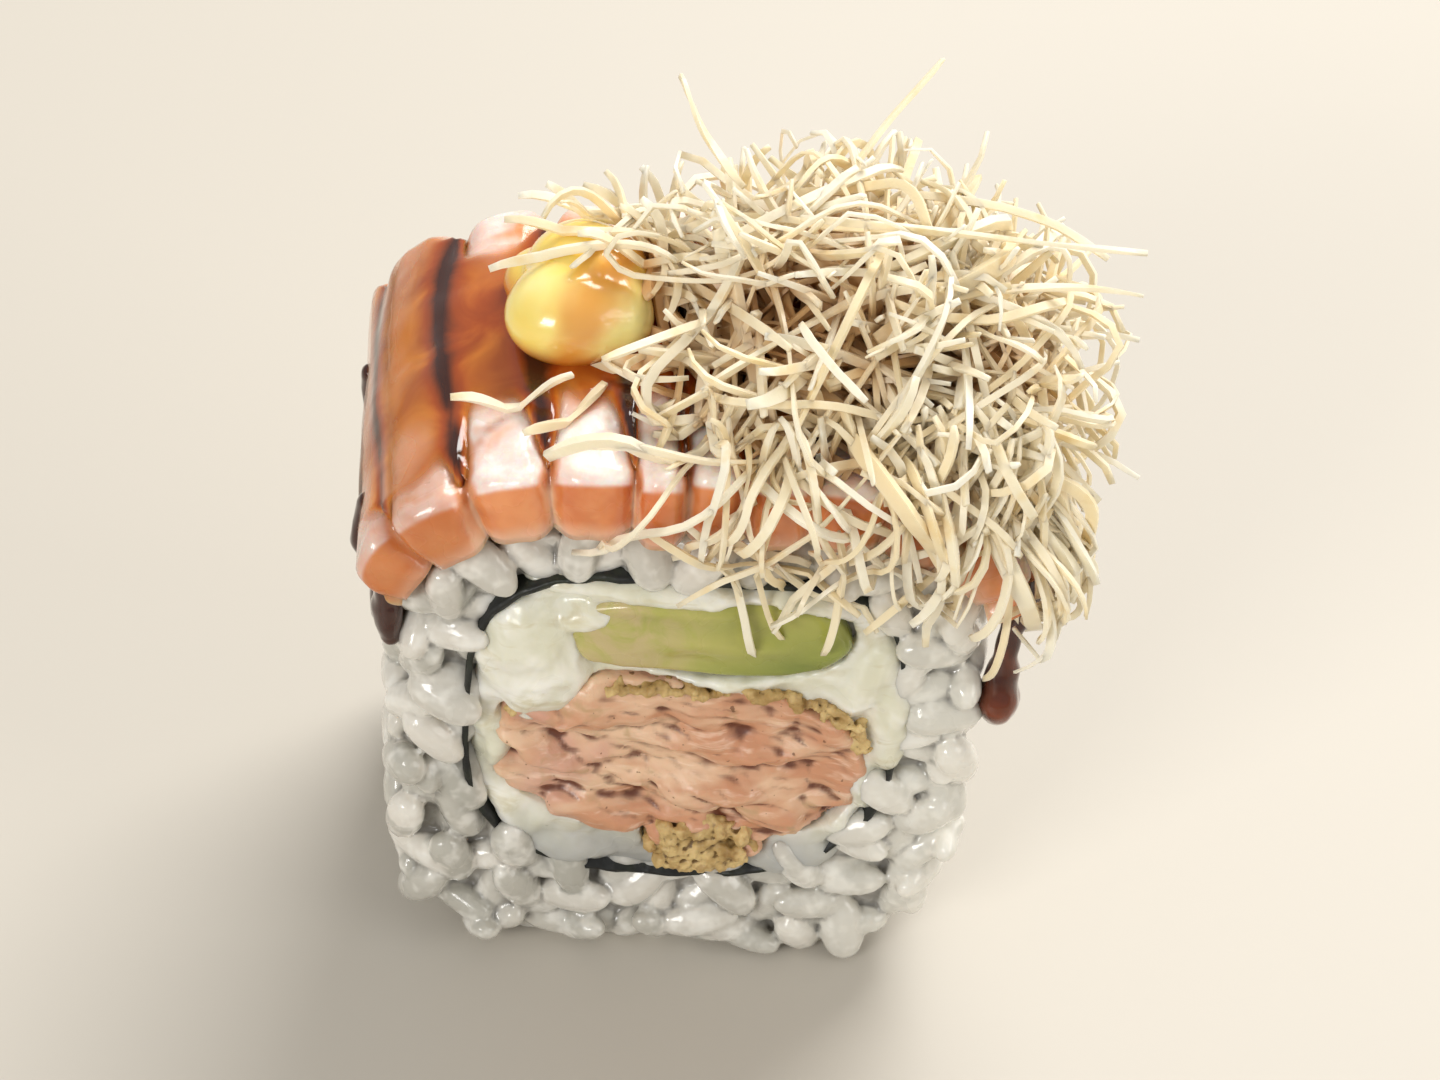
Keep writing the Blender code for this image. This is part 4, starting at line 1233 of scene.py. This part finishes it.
# Single shreds: place and length in mm, heading, bend, and how each clings to what is under it
LOOSE_ENDS = (
    ((6, 1, 67.5), (1.0, -0.10, 0.02), 26, 10, 0.0),
    ((14, 6, 66), (1.0, 0.25, -0.1), 17, 60, 0.0),
    ((18, -3, 64), (1.0, 0.1, 0.15), 14, -70, 0.0),
    ((10, 8, 66), (0.5, 1.0, 0.1), 14, 30, 0.0),
    ((2, 6, 66), (-0.8, 0.9, 0.2), 12, -30, 0.0),
    ((-1, -6, 63), (-0.9, -0.7, 0.15), 9, 35, 0.0),
    ((6, -8, 65), (0.2, -1.0, 0.2), 10, -50, 0.0),
    ((-5.0, -17.6, 52.5), (0.77, 0.0, -0.64), 21, -10, 1.0),
    ((-2.0, -17.8, 53.5), (0.70, 0.0, -0.70), 23, 15, 1.0),
    ((1.0, -17.5, 52.5), (0.62, -0.05, -0.78), 19, -20, 1.0),
    ((4.0, -17.6, 50.0), (0.35, -0.05, -0.93), 12, 30, 1.0),
    ((9.5, -17.5, 53.0), (0.30, 0.0, -0.95), 15, -25, 1.0),
    ((12.5, -17.5, 54.0), (-0.45, 0.0, -0.90), 15, 20, 1.0),
    ((17.5, -17.8, 52.0), (-0.75, 0.0, -0.60), 16, -20, 1.0),
    ((21.0, -17.5, 52.0), (-0.30, 0.0, -0.95), 14, 20, 1.0),
)


def shreds_along(draw, nest, paths):
    """One mesh of all shreds, each along its own path."""
    shape = bmesh.new()
    layers = [shape.verts.layers.float.new(name) for name in ("tone", "sauce_and_shade")]
    template = shred_template()
    for points, size in paths:
        sauce_and_shade_levels = [nest.sauce_and_shade(spot) for spot in points]
        add_shred(shape, template, layers, points, sauce_and_shade_levels, size, draw.uniform(-3, 3), draw.random())
    bpy.data.meshes.remove(template)
    return shape


def make_nest(finish, ground):
    """Hundreds of single shreds: the heaps, their fringes and a few that stick out."""
    draw = random.Random(SEED + 4)
    nest = Nest(ground)
    paths = []
    for kind, count in SHRED_COUNTS.items():
        for _ in range(count):
            size = draw.uniform(0.50, 1.0) if draw.random() > 0.05 else draw.uniform(1.2, 1.7)
            paths.append((getattr(nest, kind)(draw), size))
    for place, heading, length, bend, cling in LOOSE_ENDS:
        points = nest.grow(draw, Vector(place) * MM, Vector(heading), length * MM, bend, cling=cling)
        paths.append((points, 0.8))
    shape = shreds_along(draw, nest, paths)
    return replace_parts(new_piece("shred_nest", shape, finish), "crispy_shreds")


# Shreds that lie apart: place in mm, heading and length in mm
STRAY_SHREDS = (
    ((-19.5, -9.5, 57.5), (1.0, 0.25, 0.25), 12),
    ((-14.0, -12.5, 57.0), (0.9, 0.6, 0.1), 9),
    ((-4.0, -13.5, 57.0), (0.5, 1.0, 0.2), 10),
    ((-16.0, 4.5, 63.0), (1.0, -0.1, 0.35), 17),
    ((-15.0, 8.5, 62.0), (1.0, 0.2, 0.35), 16),
    ((-10.0, 9.5, 62.5), (1.0, -0.35, 0.3), 16),
    ((-17.0, 1.0, 61.0), (1.0, 0.4, 0.5), 15),
)


def make_strays(finish, ground):
    """A few shreds that lie apart, over the mayonnaise and on the front of the slice."""
    draw = random.Random(SEED + 5)
    nest = Nest(ground)
    paths = []
    for place, heading, length in STRAY_SHREDS:
        bend = draw.uniform(-25, 25)
        points = nest.grow(draw, Vector(place) * MM, Vector(heading), length * MM, bend, 0.03, cling=0.5)
        paths.append((points, draw.uniform(0.8, 1.0)))
    return new_piece("stray_shreds", shreds_along(draw, nest, paths), finish)


# The stage

AIM = Vector((2.5, 0.0, 34.0)) * MM
CAMERA_PLACE = Vector((-18.8, -225.8, 261.9)) * MM
CAMERA_LEAN = radians(6.15)
LENS = 100.0


def make_camera():
    """The photograph's viewing direction, with a longer lens so that one piece fills the frame."""
    data = bpy.data.cameras.new("camera")
    data.lens = LENS
    data.sensor_width = 36.0
    camera = placed("camera", data)
    camera.location = CAMERA_PLACE
    turn = (CAMERA_PLACE - AIM).to_track_quat("Z", "Y")
    camera.rotation_mode = "QUATERNION"
    camera.rotation_quaternion = turn @ Quaternion((0, 0, 1), CAMERA_LEAN)
    bpy.context.scene.camera = camera


def make_light(name, place, size, power, colour):
    """A rectangular lamp that faces the object."""
    data = bpy.data.lights.new(name, "AREA")
    data.shape = "RECTANGLE"
    data.size, data.size_y = size
    data.energy = power
    data.color = colour
    light = placed(name, data)
    light.location = place
    light.rotation_mode = "QUATERNION"
    light.rotation_quaternion = (Vector(place) - AIM).to_track_quat("Z", "Y")


def make_stage():
    """A plain pale floor and soft studio light."""
    shape = bmesh.new()
    ops.create_grid(shape, x_segments=1, y_segments=1, size=3.0)
    surface = bpy.data.materials.new("floor_finish")
    surface.use_nodes = True
    shader = surface.node_tree.nodes["Principled BSDF"]
    shader.inputs["Base Color"].default_value = display(0.77, 0.745, 0.70)
    shader.inputs["Roughness"].default_value = 0.55
    floor = placed("floor", mesh_of("floor", shape))
    floor.data.materials.append(surface)
    world = bpy.data.worlds.new("studio")
    world.use_nodes = True
    background = world.node_tree.nodes["Background"]
    background.inputs["Color"].default_value = (1.0, 0.99, 0.97, 1.0)
    background.inputs["Strength"].default_value = 0.48
    bpy.context.scene.world = world
    make_light("overhead", (0.25, 0.45, 0.62), (0.50, 0.38), 6.6, (1.0, 0.98, 0.95))
    make_light("front_fill", (-0.45, -0.55, 0.40), (0.30, 0.22), 2.8, (1.0, 0.99, 0.97))
    make_light("side_fill", (0.60, -0.25, 0.30), (0.35, 0.35), 1.1, (1.0, 0.97, 0.92))
    bpy.context.scene.view_settings.view_transform = "Standard"


def main():
    make_camera()
    make_stage()
    rice = make_rice(rice_finish())
    make_nori(nori_finish())
    cream = make_cream_cheese(cream_cheese_finish())
    make_avocado(avocado_finish())
    make_fried_salmon(fried_salmon_finish())
    make_crumb(crumb_finish())
    slab = make_slice(seared_salmon_finish())
    sauce = sauce_finish()
    glaze = make_glaze(sauce)
    make_runs(sauce)
    dab = make_mayonnaise(mayonnaise_finish())
    shreds = shred_finish()
    ground = Ground((rice, cream, slab, glaze, dab))
    make_nest(shreds, ground)
    make_strays(shreds, ground)


main()
